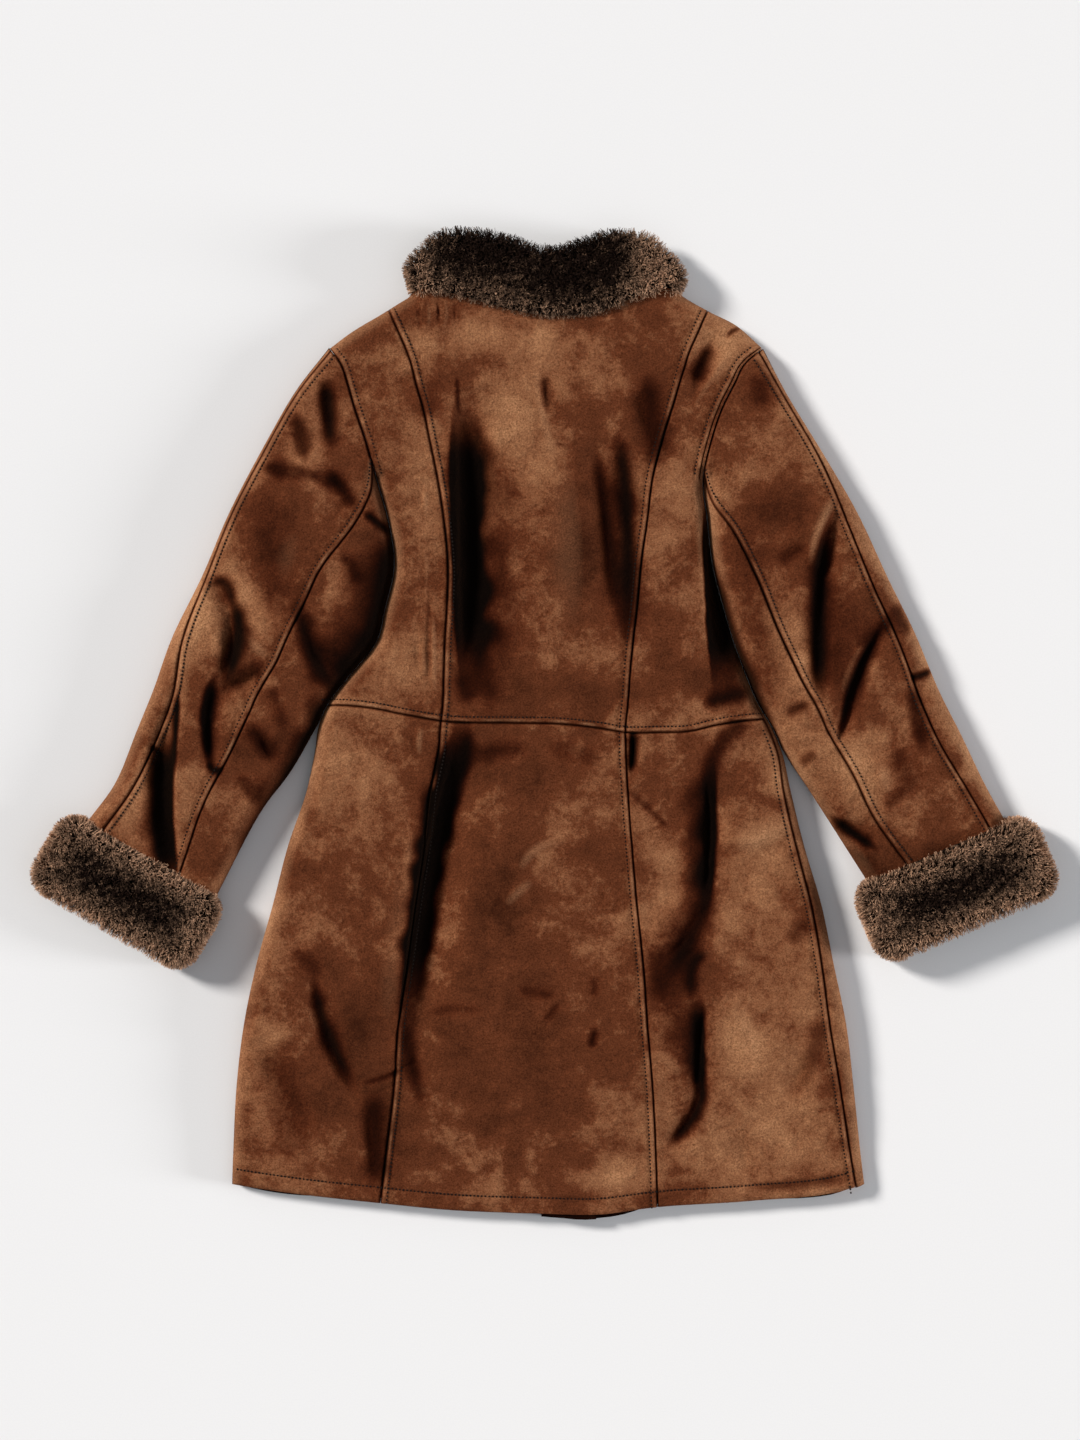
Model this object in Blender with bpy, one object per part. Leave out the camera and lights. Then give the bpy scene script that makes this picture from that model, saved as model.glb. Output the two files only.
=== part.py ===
"""A women's mid-thigh shearling coat, laid flat on its front with its back up.

Every piece that is cut and sewn is a wall of its own: hide with clipped wool
inside.  Lengths in the tables are millimetres.  X runs across the coat, Y runs
up from the hem to the collar, and Z is the height above the surface that the
coat lies on.  Left and right are the wearer's, and the left is at -X.
"""
from collections import namedtuple

import bmesh
import bpy
import numpy as np
from mathutils import Matrix

MM = 0.001                  # metres in a millimetre

# ---- cloth ---------------------------------------------------------------
WALL = 7.0                  # hide with its clipped wool, pressed
SEAM_GAP = 0.3              # between neighbouring pieces
ARMHOLE_GAP = 0.8           # between sleeve and body along the armhole
SIDE_CLEARANCE = 2.0        # between a sleeve and the body that it lies beside
PARTING = 8.0               # height at which back and front meet along an edge
RIM_THICKNESS = 2.0         # a wall where it thins out towards an edge
TURN_BACK = 5.0             # how far the inside of a folded edge stays back
TURN_FADE = 40.0            # distance from the edge where that has faded out

# ---- heights -------------------------------------------------------------
BODY_HEIGHT = 27.0          # the back above the table, away from its edges
HEM_HEIGHT = 17.0           # the same at the hem, where the coat lies flatter
HEM_FLATTENING = 190.0      # height above the hem over which it flattens
SLEEVE_HEIGHT = 27.0        # the sleeve at the armhole and at its edges
SLEEVE_CROWN = 8.0          # extra height along the middle of the sleeve
BACK_RIM_RADIUS = 17.0      # rounding of an edge, upper side
FRONT_RIM_RADIUS = 9.0      # rounding of an edge, under side
HEM_ROUNDING = 5.0          # rounding of the turned-up hem

# ---- front opening -------------------------------------------------------
LAP_LIFT = 7.3              # the left front lies on the right front
LAP_ROOM = 6.7              # how far the back stays up over the lap
LAP_RAMP = 24.0             # length of the slope up on to it
LAP_MARGIN = 3.0            # the slope ends this far before the edge
LAP_OVERHANG = 10.0         # the back comes down this far past the left front

# ---- fur -----------------------------------------------------------------
COLLAR_WALL = 16.0          # hide with its full pile, one layer of the collar
CUFF_WALL = 18.0            # the same on the cuffs
FUR_EDGE = 0.4              # share of the wall that is left along a free edge
FUR_SLOT = 3.0              # between the upper and the lower layer of a band
COLLAR_HEIGHT = 35.0
COLLAR_RIM_RADIUS = 17.0
COLLAR_FRONT_GAP = 12.0     # between the two collar ends at the front
COLLAR_GAP = 0.6            # between the collar and the neck
FRONT_NECK_GAP = 4.5        # more room for the fronts, whose neck is cut lower
SHOULDER_GAP = 1.0          # the same along the shoulders
COLLAR_INNER_FOOT = 2.0     # the inside of the collar starts this much higher
CUFF_HEIGHT = 39.0
CUFF_RIM_RADIUS = 19.0
CUFF_CORNER = 20.0          # corner radius of a cuff seen from above
CUFF_GAP = 0.5              # between a cuff and its sleeve
FUR_ROUNDNESS = 8           # power of the curve by which a fur edge thins out

# ---- lengths that only set the mesh rows ---------------------------------
SKIRT_LENGTH = 460.0
BODICE_LENGTH = 380.0

# ---- mesh density --------------------------------------------------------
SKIRT_ROWS = 15
BODICE_ROWS = 18
CENTRE_COLUMNS = 13
SIDE_BODICE_COLUMNS = 5
SIDE_SKIRT_COLUMNS = 8
FRONT_COLUMNS = 4
SLEEVE_ROWS = 19
SLEEVE_BACK_COLUMNS = 7
FIRST_SKIRT_LEVEL = 0.04    # first even row above the rounded hem
TOP_CROWDING = 1.35         # rows of the bodice stand closer near the top
SEAM_CROWDING = 1.5         # columns of the sleeve back, closer near its first seam
RIM_SHARES = (0.0, 0.12, 0.45, 1.0)     # of a rim's radius, for its columns
LEVEL_ROUNDS = 60           # steps that find where a seam crosses a level
LEVEL_STEP = 0.4
EDGE_SAMPLES = 40           # points that trace one edge of the body
SHOULDER_SAMPLES = 12
SLEEVE_SAMPLES = 41
FOLD_SAMPLES = 17
CUFF_ACROSS = (-1.0, -0.93, -0.72, -0.3, 0.3, 0.72, 0.93, 1.0)
CUFF_ALONG = (-1.0, -0.97, -0.89, -0.75, -0.55, -0.275, 0.0, 0.275, 0.55, 0.75, 0.89,
              0.97, 1.0)
COLLAR_UP = (0.0, 0.08, 0.25, 0.5, 0.75, 0.92, 1.0)

# Sections across the body, top to bottom: where the edges and the seams are.
Section = namedtuple("Section", "y left left_seam right_seam side_seam right")
BODY = (
    Section(363, -208, -134, 141, 208, 211),
    Section(349, -197, -129, 136, 191, 194),
    Section(329, -190, -124, 130, 180, 183),
    Section(305, -183, -117, 123, 168, 171),
    Section(276, -173, -111, 114, 158, 161),
    Section(237, -162, -103, 104, 150, 153),
    Section(198, -151, -97, 99, 154, 157),
    Section(154, -145, -93, 93, 159, 162),
    Section(111, -154, -94, 89, 170, 173),
    Section(78, -163, -96, 85, 180, 183),
    Section(46, -189, -97, 82, 192, 195),
    Section(18, -210, -98, 80, 204, 207),
    Section(0, -218, -100, 78, 214, 218),
    Section(-25, -222, -102, 78, 224, 229),
    Section(-64, -230, -110, 80, 230, 238),
    Section(-117, -248, -116, 84, 242, 251),
    Section(-175, -263, -125, 89, 257, 268),
    Section(-233, -279, -133, 95, 267, 280),
    Section(-291, -291, -141, 99, 275, 292),
    Section(-350, -298, -145, 104, 285, 299),
    Section(-408, -301, -152, 107, 294, 305),
    Section(-466, -303, -159, 109, 304, 312),
)
SHOULDER_TOP = 363          # sections above this belong to the shoulder line
ARMHOLE_BOTTOM = 237

# Lines that run across the body.
Across = namedtuple("Across", "x y")
TOP_LINE = (                # shoulder, back neck under the collar, shoulder
    Across(-208, 363), Across(-191, 376), Across(-155, 398), Across(-134, 411),
    Across(-118, 420), Across(-97, 417), Across(-71, 410), Across(-30, 399),
    Across(8, 394), Across(51, 397), Across(82, 409), Across(110, 420),
    Across(126, 418), Across(141, 409), Across(161, 398), Across(186, 385),
    Across(211, 363),
)
WAIST_LINE = (
    Across(-218, 18), Across(-194, 18), Across(-165, 15), Across(-135, 9),
    Across(-100, 3), Across(-31, 1), Across(15, 0), Across(52, -4),
    Across(77, -8), Across(110, -8), Across(139, -7), Across(165, -1),
    Across(190, 3), Across(218, 5),
)
HEM_LINE = (
    Across(-303, -445), Across(-241, -454), Across(-160, -463),
    Across(-88, -470), Across(-3, -473), Across(50, -474), Across(109, -467),
    Across(199, -461), Across(288, -451), Across(312, -444),
)

# How far each front shows below the hem of the back.
FrontHem = namedtuple("FrontHem", "x left_drop right_drop")
FRONT_HEM = (
    FrontHem(-303, -1.0, 0.0), FrontHem(-280, 1.5, 0.0), FrontHem(-235, 1.5, 0.0),
    FrontHem(-200, -2.0, 0.0), FrontHem(-40, -2.0, 3.0), FrontHem(-3, 0.5, 3.8),
    FrontHem(12, 3.0, 4.5), FrontHem(50, 4.5, 4.5), FrontHem(80, 0.0, 3.0),
    FrontHem(105, 0.0, -2.0), FrontHem(160, 0.0, -1.0), FrontHem(177, 0.0, 1.0),
    FrontHem(195, 0.0, -1.0), FrontHem(245, 0.0, 1.5), FrontHem(300, 0.0, 1.5),
    FrontHem(312, 0.0, 0.0),
)

DROP_REACH = 0.12           # share of the skirt over which a front's drop fades
SHOULDER_LEAN = 1.25        # seams lean this much more above the last section

# Front edges, from hem to neck.
Opening = namedtuple("Opening", "y right_front left_front")
OPENING = (
    Opening(-480, -3, 50), Opening(-200, -8, 45), Opening(0, -14, 39),
    Opening(420, -25, 27),
)

# Sections along a sleeve, armhole to cuff: the two edges and, as a share of
# the width from the outer edge, the two seams.
Station = namedtuple("Station", "outer_x outer_y inner_x inner_y outer_seam inner_seam")
SLEEVE_LEFT = (
    Station(-208, 364, -162, 239, 0.030, 0.90),
    Station(-242, 320, -152, 203, 0.022, 0.82),
    Station(-276, 261, -145, 160, 0.022, 0.70),
    Station(-306, 203, -152, 116, 0.022, 0.60),
    Station(-331, 144, -167, 72, 0.030, 0.57),
    Station(-360, 85, -194, 40, 0.070, 0.61),
    Station(-378, 35, -218, 2, 0.130, 0.60),
    Station(-395, -7, -245, -45, 0.145, 0.61),
    Station(-415, -56, -277, -89, 0.140, 0.63),
    Station(-442, -94, -316, -163, 0.130, 0.72),
)
SLEEVE_RIGHT = (
    Station(211, 363, 153, 233, 0.030, 0.93),
    Station(234, 320, 155, 206, 0.030, 0.92),
    Station(270, 261, 159, 166, 0.045, 0.80),
    Station(303, 204, 169, 121, 0.094, 0.75),
    Station(332, 142, 185, 74, 0.110, 0.735),
    Station(358, 89, 205, 21, 0.117, 0.72),
    Station(381, 34, 234, -31, 0.136, 0.715),
    Station(403, -10, 256, -64, 0.154, 0.72),
    Station(426, -58, 281, -103, 0.127, 0.745),
    Station(446, -93, 311, -152, 0.124, 0.72),
)
UNDER_SEAM = 0.5            # the third sleeve seam, underneath
ARMHOLE_FADE = 0.3          # share of the sleeve over which the armhole's curve fades
CROWN_RISE = 0.3            # share of the sleeve over which its crown comes up
CROWN_END = 1.15            # where the crown would have gone down again
CLEARANCE_POWER = 6         # the sleeve leaves the body only near the underarm

# Cuffs: centre, turn of the long side, size, and the stretch of the upper
# side, from the centre, where the sleeve comes in.
Cuff = namedtuple("Cuff", "x y degrees length width sleeve_from sleeve_to")
CUFF_LEFT = Cuff(-404, -162, -30.0, 183, 80, -67, 77)
CUFF_RIGHT = Cuff(397.6, -159, 23.0, 193, 80, 70, -76)

# The collar's upper edge, left to right.
COLLAR_EDGE = (
    Across(-133, 424), Across(-129, 441), Across(-121, 454), Across(-109, 469),
    Across(-97, 477), Across(-72, 478), Across(-52, 476), Across(-33, 471),
    Across(-14, 463), Across(0, 460), Across(15, 461), Across(36, 469),
    Across(64, 478), Across(89, 477), Across(102, 472), Across(112, 461),
    Across(123, 446), Across(131, 431), Across(134, 421),
)
COLLAR_FOOT = (-131.0, 132.0)   # where the collar's lower edge starts and ends
COLLAR_EDGE_SHARE = 0.94        # the rest of its upper edge is in the two ends

FOLD_TAPER = 0.6            # how soon a fold is at its full depth, from its ends

# Folds: a trough along a curve through three points, its half width, its
# depth (negative for a ridge), and its lean: above 1 the side on the left of
# the way from first point to last is gentler than the other side.
Fold = namedtuple("Fold", "x1 y1 x2 y2 x3 y3 half_width depth lean")
BACK_FOLDS = (
    Fold(-74, 325, -66, 179, -74, 22, 15, 11, 1.6),         # long fold, centre back
    Fold(-92, 300, -86, 179, -92, 60, 9, -3, 1.0),          # ridge on its left
    Fold(52, 276, 60, 189, 66, 100, 17, 7, 1.0),
    Fold(89, 320, 98, 298, 107, 276, 11, 4, 1.0),
    Fold(-3, 338, 2, 310, 11, 276, 12, 3, 1.0),
    Fold(15, 260, 22, 180, 20, 70, 24, -4, 1.0),
    Fold(162, 383, 153, 342, 141, 303, 10, 5, 1.0),
    Fold(162, 205, 170, 121, 184, 55, 11, 10, 0.6),         # pocket beside the sleeve
    Fold(-74, -22, -101, -170, -129, -345, 13, 12, 1.7),    # long fold, left skirt
    Fold(-118, -80, -140, -200, -152, -300, 16, -4, 1.0),
    Fold(-227, -219, -205, -311, -175, -370, 14, 7, 1.0),
    Fold(-173, -369, -166, -403, -167, -442, 12, 4, 1.0),
    Fold(-281, -306, -261, -345, -237, -393, 16, 4, 1.0),
    Fold(157, -50, 160, -110, 153, -170, 11, 9, 1.5),       # hollow, right skirt
    Fold(154, -172, 143, -204, 116, -220, 11, 5, 1.0),
    Fold(145, -268, 151, -335, 143, -378, 11, 7, 1.0),
    Fold(143, -378, 133, -393, 116, -412, 11, 6, 1.0),
    Fold(84, -12, 84, -32, 83, -52, 8, 4, 1.0),
    Fold(233, -90, 194, -101, 170, -122, 14, -4, 1.0),
    Fold(199, -20, 185, -34, 170, -49, 12, 3, 1.0),
    Fold(248, -316, 243, -335, 238, -355, 14, 3, 1.0),
    Fold(185, -400, 190, -418, 194, -435, 14, 3, 1.0),
)
SLEEVE_FOLDS = (
    Fold(279, 205, 268, 121, 266, 28, 14, 9, 0.7),          # right upper arm
    Fold(277, 222, 261, 184, 258, 150, 8, -4, 1.0),
    Fold(328, 95, 302, 43, 281, -22, 11, 8, 1.0),
    Fold(356, 58, 362, 38, 367, 18, 11, 4, 1.0),
    Fold(285, -95, 301, -105, 318, -116, 10, 7, 1.0),
    Fold(-215, 330, -211, 300, -208, 268, 10, 5, 1.0),      # left upper arm
    Fold(-220, 244, -198, 223, -187, 206, 12, 6, 1.0),
    Fold(-323, 134, -302, 82, -320, 0, 12, 8, 0.7),
    Fold(-320, 4, -323, -20, -314, -40, 10, 6, 1.0),
    Fold(-278, 50, -293, 39, -308, 31, 8, 5, 1.0),
    Fold(-226, 104, -222, 77, -217, 50, 11, 4, 1.0),
    Fold(-352, 38, -370, -54, -356, -146, 12, 10, 0.8),     # deep valley, left forearm
    Fold(-274, -6, -268, -23, -264, -38, 10, 4, 1.0),
)

# Finishes: base colour and roughness.
Finish = namedtuple("Finish", "colour roughness")
SUEDE = Finish((0.158, 0.054, 0.020, 1.0), 0.95)
FUR = Finish((0.045, 0.026, 0.019, 1.0), 1.0)
SHARP_ANGLE = 50            # degrees between faces that shade as a corner

COLLECTION_NAME = "shearling_coat"


# ---- curves and heights --------------------------------------------------

def spline(xs, ys, at):
    """Smooth curve through the points (xs, ys), read at the values in at."""
    xs = np.asarray(xs, float)
    ys = np.asarray(ys, float)
    if xs[0] > xs[-1]:
        xs = xs[::-1]
        ys = ys[::-1]
    at = np.clip(at, xs[0], xs[-1])
    slopes = np.gradient(ys, xs)
    i = np.clip(np.searchsorted(xs, at) - 1, 0, len(xs) - 2)
    span = xs[i + 1] - xs[i]
    t = (at - xs[i]) / span
    return ((1 + 2 * t) * (1 - t) ** 2 * ys[i] + t * (1 - t) ** 2 * span * slopes[i]
            + t * t * (3 - 2 * t) * ys[i + 1] + t * t * (t - 1) * span * slopes[i + 1])


def column(table, name):
    """One column of a table."""
    return [getattr(row, name) for row in table]


def body_x(name, y):
    """X of an edge or a seam of the body at the height y."""
    return spline(column(BODY, "y"), column(BODY, name), y)


def line_y(line, x):
    """Y of a line that runs across the body, at x."""
    return spline(column(line, "x"), column(line, "y"), x)


def opening_x(name, y):
    """X of a front edge at the height y."""
    return spline(column(OPENING, "y"), column(OPENING, name), y)


def smooth_step(t):
    """Soft rise from 0 to 1."""
    t = np.clip(t, 0.0, 1.0)
    return t * t * (3 - 2 * t)


def rounding(distance, radius):
    """Quarter-circle rise from 0 at an edge to 1 at the radius from it."""
    t = np.clip(distance / radius, 0.0, 1.0)
    return np.sqrt(1 - (1 - t) ** 2)


def distance_to_path(x, y, path):
    """Distance from each point to the nearest point of a path."""
    best = np.full(np.shape(x), 1e9)
    for (ax, ay), (bx, by) in zip(path[:-1], path[1:]):
        dx = bx - ax
        dy = by - ay
        t = np.clip(((x - ax) * dx + (y - ay) * dy) / (dx * dx + dy * dy), 0.0, 1.0)
        best = np.minimum(best, np.hypot(x - ax - t * dx, y - ay - t * dy))
    return best


def near_fold(fold, x, y):
    """Distance to a fold's line, on which side of it, and the share along it."""
    t = np.linspace(0.0, 1.0, FOLD_SAMPLES)
    weights = ((1 - t) * (1 - 2 * t), 4 * t * (1 - t), t * (2 * t - 1))
    px = weights[0] * fold.x1 + weights[1] * fold.x2 + weights[2] * fold.x3
    py = weights[0] * fold.y1 + weights[1] * fold.y2 + weights[2] * fold.y3
    best = np.full(np.shape(x), np.inf)
    side = np.zeros(np.shape(x))
    share = np.zeros(np.shape(x))
    for i in range(len(t) - 1):
        dx = px[i + 1] - px[i]
        dy = py[i + 1] - py[i]
        place = np.clip(((x - px[i]) * dx + (y - py[i]) * dy) / (dx * dx + dy * dy), 0.0, 1.0)
        off_x = x - px[i] - place * dx
        off_y = y - py[i] - place * dy
        distance = np.hypot(off_x, off_y)
        nearer = distance < best
        best = np.where(nearer, distance, best)
        side = np.where(nearer, dx * off_y - dy * off_x, side)
        share = np.where(nearer, t[i] + place * t[1], share)
    return best, side, share


def fold_depth(folds, x, y):
    """Height taken away by the folds at each point."""
    total = np.zeros(np.shape(x))
    for fold in folds:
        distance, side, share = near_fold(fold, x, y)
        width = np.where(side > 0, fold.half_width * fold.lean, fold.half_width)
        taper = np.sin(np.pi * share) ** FOLD_TAPER
        total += fold.depth * taper * np.exp(-(distance / width) ** 2)
    return total


def edge_path(name, top, bottom):
    """One edge of the body as a path of points."""
    ys = np.linspace(top, bottom, EDGE_SAMPLES)
    return list(zip(body_x(name, ys), ys))


def shoulder_path(first, last):
    """A stretch of the top line as a path of points."""
    xs = np.linspace(first, last, SHOULDER_SAMPLES)
    return list(zip(xs, line_y(TOP_LINE, xs)))


def body_rim_distance(x, y):
    """Distance to the nearest edge where back and front are joined."""
    paths = (
        edge_path("left", ARMHOLE_BOTTOM, BODY[-1].y),
        edge_path("right", ARMHOLE_BOTTOM, BODY[-1].y),
        shoulder_path(TOP_LINE[0].x, COLLAR_FOOT[0]),
        shoulder_path(COLLAR_FOOT[1], TOP_LINE[-1].x),
    )
    return np.min([distance_to_path(x, y, path) for path in paths], axis=0)


def layer_floor(x, y):
    """Lowest height that the inside of the back may have over the fronts."""
    lap_start = opening_x("right_front", y)
    lap_end = opening_x("left_front", y)
    up = smooth_step((x - lap_start + 2 * LAP_RAMP) / LAP_RAMP)
    down = smooth_step((x - lap_end - LAP_OVERHANG) / LAP_RAMP)
    return PARTING + SEAM_GAP / 2 + LAP_ROOM * up * (1 - down)


def back_height(x, y):
    """Outer height and inner height of the back at each point."""
    above_hem = y - line_y(HEM_LINE, x)
    flat = HEM_HEIGHT + (BODY_HEIGHT - HEM_HEIGHT) * smooth_step(above_hem / HEM_FLATTENING)
    floor = layer_floor(x, y)
    full = np.maximum(flat - fold_depth(BACK_FOLDS, x, y), floor + WALL)
    full = PARTING + (full - PARTING) * rounding(body_rim_distance(x, y), BACK_RIM_RADIUS)
    inner = np.maximum(full - WALL, floor)
    outer = np.maximum(full, inner + RIM_THICKNESS)
    hem = rounding(above_hem, HEM_ROUNDING)
    return inner + (outer - inner) * (0.5 + 0.5 * hem), inner


def front_height(x, y, lift):
    """Outer (under) height and inner height of a front."""
    rim = rounding(body_rim_distance(x, y), FRONT_RIM_RADIUS)
    inner = WALL + (PARTING - SEAM_GAP / 2 - WALL) * (1 - rim) + lift
    outer = PARTING * (1 - rim) + lift
    return np.minimum(outer, inner - RIM_THICKNESS), inner


# ---- meshes --------------------------------------------------------------

def make_material(name, finish):
    """A plain material of one colour."""
    material = bpy.data.materials.new(name)
    material.use_nodes = True
    shader = material.node_tree.nodes["Principled BSDF"]
    shader.inputs["Base Color"].default_value = finish.colour
    shader.inputs["Roughness"].default_value = finish.roughness
    shader.inputs["Metallic"].default_value = 0.0
    material.diffuse_color = finish.colour
    return material


def add_wall(name, outer, inner, finish, closed=False):
    """A closed wall between two grids of points, one object.

    outer and inner have one row of points for each section.  With closed set
    each row is a ring, and the wall is open only at the first and last row.
    """
    rows, columns = outer.shape[:2]
    mesh = bmesh.new()
    sheets = []
    for grid in (outer, inner):
        sheets.append([[mesh.verts.new(point * MM) for point in row] for row in grid])
    spans = columns if closed else columns - 1
    for sheet in sheets:
        for r in range(rows - 1):
            for c in range(spans):
                d = (c + 1) % columns
                mesh.faces.new((sheet[r][c], sheet[r][d], sheet[r + 1][d], sheet[r + 1][c]))
    front, back = sheets
    for r in (0, rows - 1):
        for c in range(spans):
            d = (c + 1) % columns
            mesh.faces.new((front[r][c], front[r][d], back[r][d], back[r][c]))
    if not closed:
        for c in (0, columns - 1):
            for r in range(rows - 1):
                mesh.faces.new((front[r][c], front[r + 1][c], back[r + 1][c], back[r][c]))
    bmesh.ops.recalc_face_normals(mesh, faces=mesh.faces)
    data = bpy.data.meshes.new(name)
    mesh.to_mesh(data)
    mesh.free()
    data.materials.append(make_material(name, finish))
    data.shade_smooth()
    data.set_sharp_from_angle(angle=np.radians(SHARP_ANGLE))
    part = bpy.data.objects.new(name, data)
    bpy.data.collections[COLLECTION_NAME].objects.link(part)


def stack(x, y, z):
    """Join three coordinates into one array of points."""
    return np.stack(np.broadcast_arrays(x, y, z), axis=-1).astype(float)


def pull_apart(x, y, first_column, last_column, first_row, last_row):
    """Move the borders of a grid inwards by the gaps given for each border."""
    borders = (
        (np.s_[:, 0], np.s_[:, 1], first_column), (np.s_[:, -1], np.s_[:, -2], last_column),
        (np.s_[0, :], np.s_[1, :], first_row), (np.s_[-1, :], np.s_[-2, :], last_row),
    )
    for edge, inside, gap in borders:
        dx = x[inside] - x[edge]
        dy = y[inside] - y[edge]
        length = np.hypot(dx, dy)
        x[edge] = x[edge] + dx / length * gap
        y[edge] = y[edge] + dy / length * gap


# ---- body ----------------------------------------------------------------

def level_y(x, v):
    """Y at x on level v: 0 is the hem, 1 the waist seam, 2 the top line."""
    hem = line_y(HEM_LINE, x)
    waist = line_y(WAIST_LINE, x)
    top = line_y(TOP_LINE, x)
    return np.where(v < 1, hem + (waist - hem) * v, waist + (top - waist) * (v - 1))


def body_column(name, levels):
    """The points where an edge or a seam crosses each level."""
    x = np.zeros(len(levels))
    y = np.zeros(len(levels))
    for _ in range(LEVEL_ROUNDS):
        y = y + LEVEL_STEP * (level_y(x, levels) - y)
        if name in ("left", "right"):
            x = body_x(name, np.minimum(y, SHOULDER_TOP))
        else:
            x = body_x_up(name, y)
    return x


def body_x_up(name, y):
    """Seams that run on past the last section, up to the shoulder line."""
    x = body_x(name, y)
    first = BODY[0]
    second = BODY[1]
    lean = (getattr(first, name) - getattr(second, name)) / (first.y - second.y)
    return x + np.maximum(y - first.y, 0.0) * lean * SHOULDER_LEAN


def skirt_levels():
    """Levels of the rows of the skirt, hem to waist."""
    hem = HEM_ROUNDING / SKIRT_LENGTH
    even = np.linspace(FIRST_SKIRT_LEVEL, 1.0, SKIRT_ROWS)
    return np.concatenate(([0.0, 0.3 * hem, hem], even))


def bodice_levels():
    """Levels of the rows of the bodice, waist to top line."""
    rim = BACK_RIM_RADIUS / BODICE_LENGTH
    even = 1 - (1 - np.linspace(0.0, 1.0, BODICE_ROWS)) ** TOP_CROWDING
    return np.concatenate((1 + (1 - rim) * even, [2 - 0.5 * rim, 2 - 0.12 * rim, 2.0]))


def rim_steps(radius):
    """Distances from an edge that round it well."""
    return [share * radius for share in RIM_SHARES]


def spread(width, count, rim_first, rim_last):
    """Shares of a width for the columns of a panel, closer near its rims."""
    head = rim_steps(BACK_RIM_RADIUS) if rim_first else [0.0]
    tail = rim_steps(BACK_RIM_RADIUS) if rim_last else [0.0]
    middle = np.linspace(head[-1], width - tail[-1], count + 1)
    return np.array(head[:-1] + list(middle) + [width - d for d in tail[-2::-1]]) / width


def body_grid(first, last, levels, count, rim_first=False, rim_last=False):
    """Plan of a panel of the back between two edges or seams."""
    first_x = body_column(first, levels)
    last_x = body_column(last, levels)
    x = np.array([a + (b - a) * spread(b - a, count, rim_first, rim_last)
                  for a, b in zip(first_x, last_x)])
    return x, level_y(x, levels[:, None])


BackPanel = namedtuple("BackPanel", "name first last part count rim_first rim_last")
BACK_PANELS = (
    BackPanel("back_side_bodice_left", "left", "left_seam", "bodice", SIDE_BODICE_COLUMNS, True, False),
    BackPanel("back_centre_bodice", "left_seam", "right_seam", "bodice", CENTRE_COLUMNS, False, False),
    BackPanel("back_side_bodice_right", "right_seam", "side_seam", "bodice", SIDE_BODICE_COLUMNS + 3,
              False, False),
    BackPanel("back_side_skirt_left", "left", "left_seam", "skirt", SIDE_SKIRT_COLUMNS, True, False),
    BackPanel("back_centre_skirt", "left_seam", "right_seam", "skirt", CENTRE_COLUMNS, False, False),
    BackPanel("back_side_skirt_right", "right_seam", "side_seam", "skirt", SIDE_SKIRT_COLUMNS + 2,
              False, False),
)


def build_back():
    """The six pieces of the back."""
    half = SEAM_GAP / 2
    for panel in BACK_PANELS:
        bodice = panel.part == "bodice"
        levels = bodice_levels() if bodice else skirt_levels()
        x, y = body_grid(panel.first, panel.last, levels, panel.count, panel.rim_first, panel.rim_last)
        pull_apart(x, y, 0.0 if panel.rim_first else half, half,
                   half if bodice else 0.0, 0.0 if bodice else half)
        if bodice and panel.rim_first:
            leave_armhole(x, y, 0)
        if bodice and panel.last == "side_seam":
            leave_armhole(x, y, -1)
        outer, inner = back_height(x, y)
        add_wall(panel.name, stack(x, y, outer), stack(x, y, inner), SUEDE)


def leave_armhole(x, y, edge):
    """Bring one border of a panel back from the armhole by half its gap."""
    inside = 1 if edge == 0 else -2
    along = y[:, edge] > ARMHOLE_BOTTOM
    step = np.sign(x[:, inside] - x[:, edge]) * ARMHOLE_GAP / 2
    x[:, edge] = x[:, edge] + np.where(along, step, 0.0)


def front_levels():
    """Levels of the rows of a front, hem to neck."""
    return np.concatenate((skirt_levels(), bodice_levels()[1:]))


def drop_hem(x, y, levels, name):
    """Let a front show below the hem of the back."""
    drop = spline(column(FRONT_HEM, "x"), column(FRONT_HEM, name), x)
    return y - drop * np.clip(1 - levels[:, None] / DROP_REACH, 0.0, 1.0)


def neck_gap(x):
    """Gap between a front and the collar or the shoulder, at x."""
    return np.where(np.abs(x) < COLLAR_FOOT[1], FRONT_NECK_GAP, SHOULDER_GAP)


def build_front_left():
    """The left front: from the left edge on to the right front."""
    levels = front_levels()
    edge = body_column("left", levels)
    rows = []
    for a, v in zip(edge, levels):
        y = level_y(np.array([0.0]), np.array([v]))[0]
        lap = opening_x("right_front", y)
        end = opening_x("left_front", y)
        foot = lap - LAP_RAMP - LAP_MARGIN
        rim = [a + d for d in rim_steps(FRONT_RIM_RADIUS)]
        middle = list(np.linspace(rim[-1], foot, FRONT_COLUMNS + 1))[1:]
        rows.append(rim + middle + [foot + 0.5 * LAP_RAMP, lap - LAP_MARGIN, 0.5 * (lap + end), end])
    x = np.array(rows)
    y = drop_hem(x, level_y(x, levels[:, None]), levels, "left_drop")
    pull_apart(x, y, 0.0, 0.0, 0.0, neck_gap(x[-1]))
    leave_armhole(x, y, 0)
    lap = opening_x("right_front", y)
    lift = LAP_LIFT * smooth_step((x - lap + LAP_RAMP + LAP_MARGIN) / LAP_RAMP)
    outer, inner = front_height(x, y, lift)
    add_wall("front_left", stack(x, y, outer), stack(x, y, inner), SUEDE)


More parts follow.
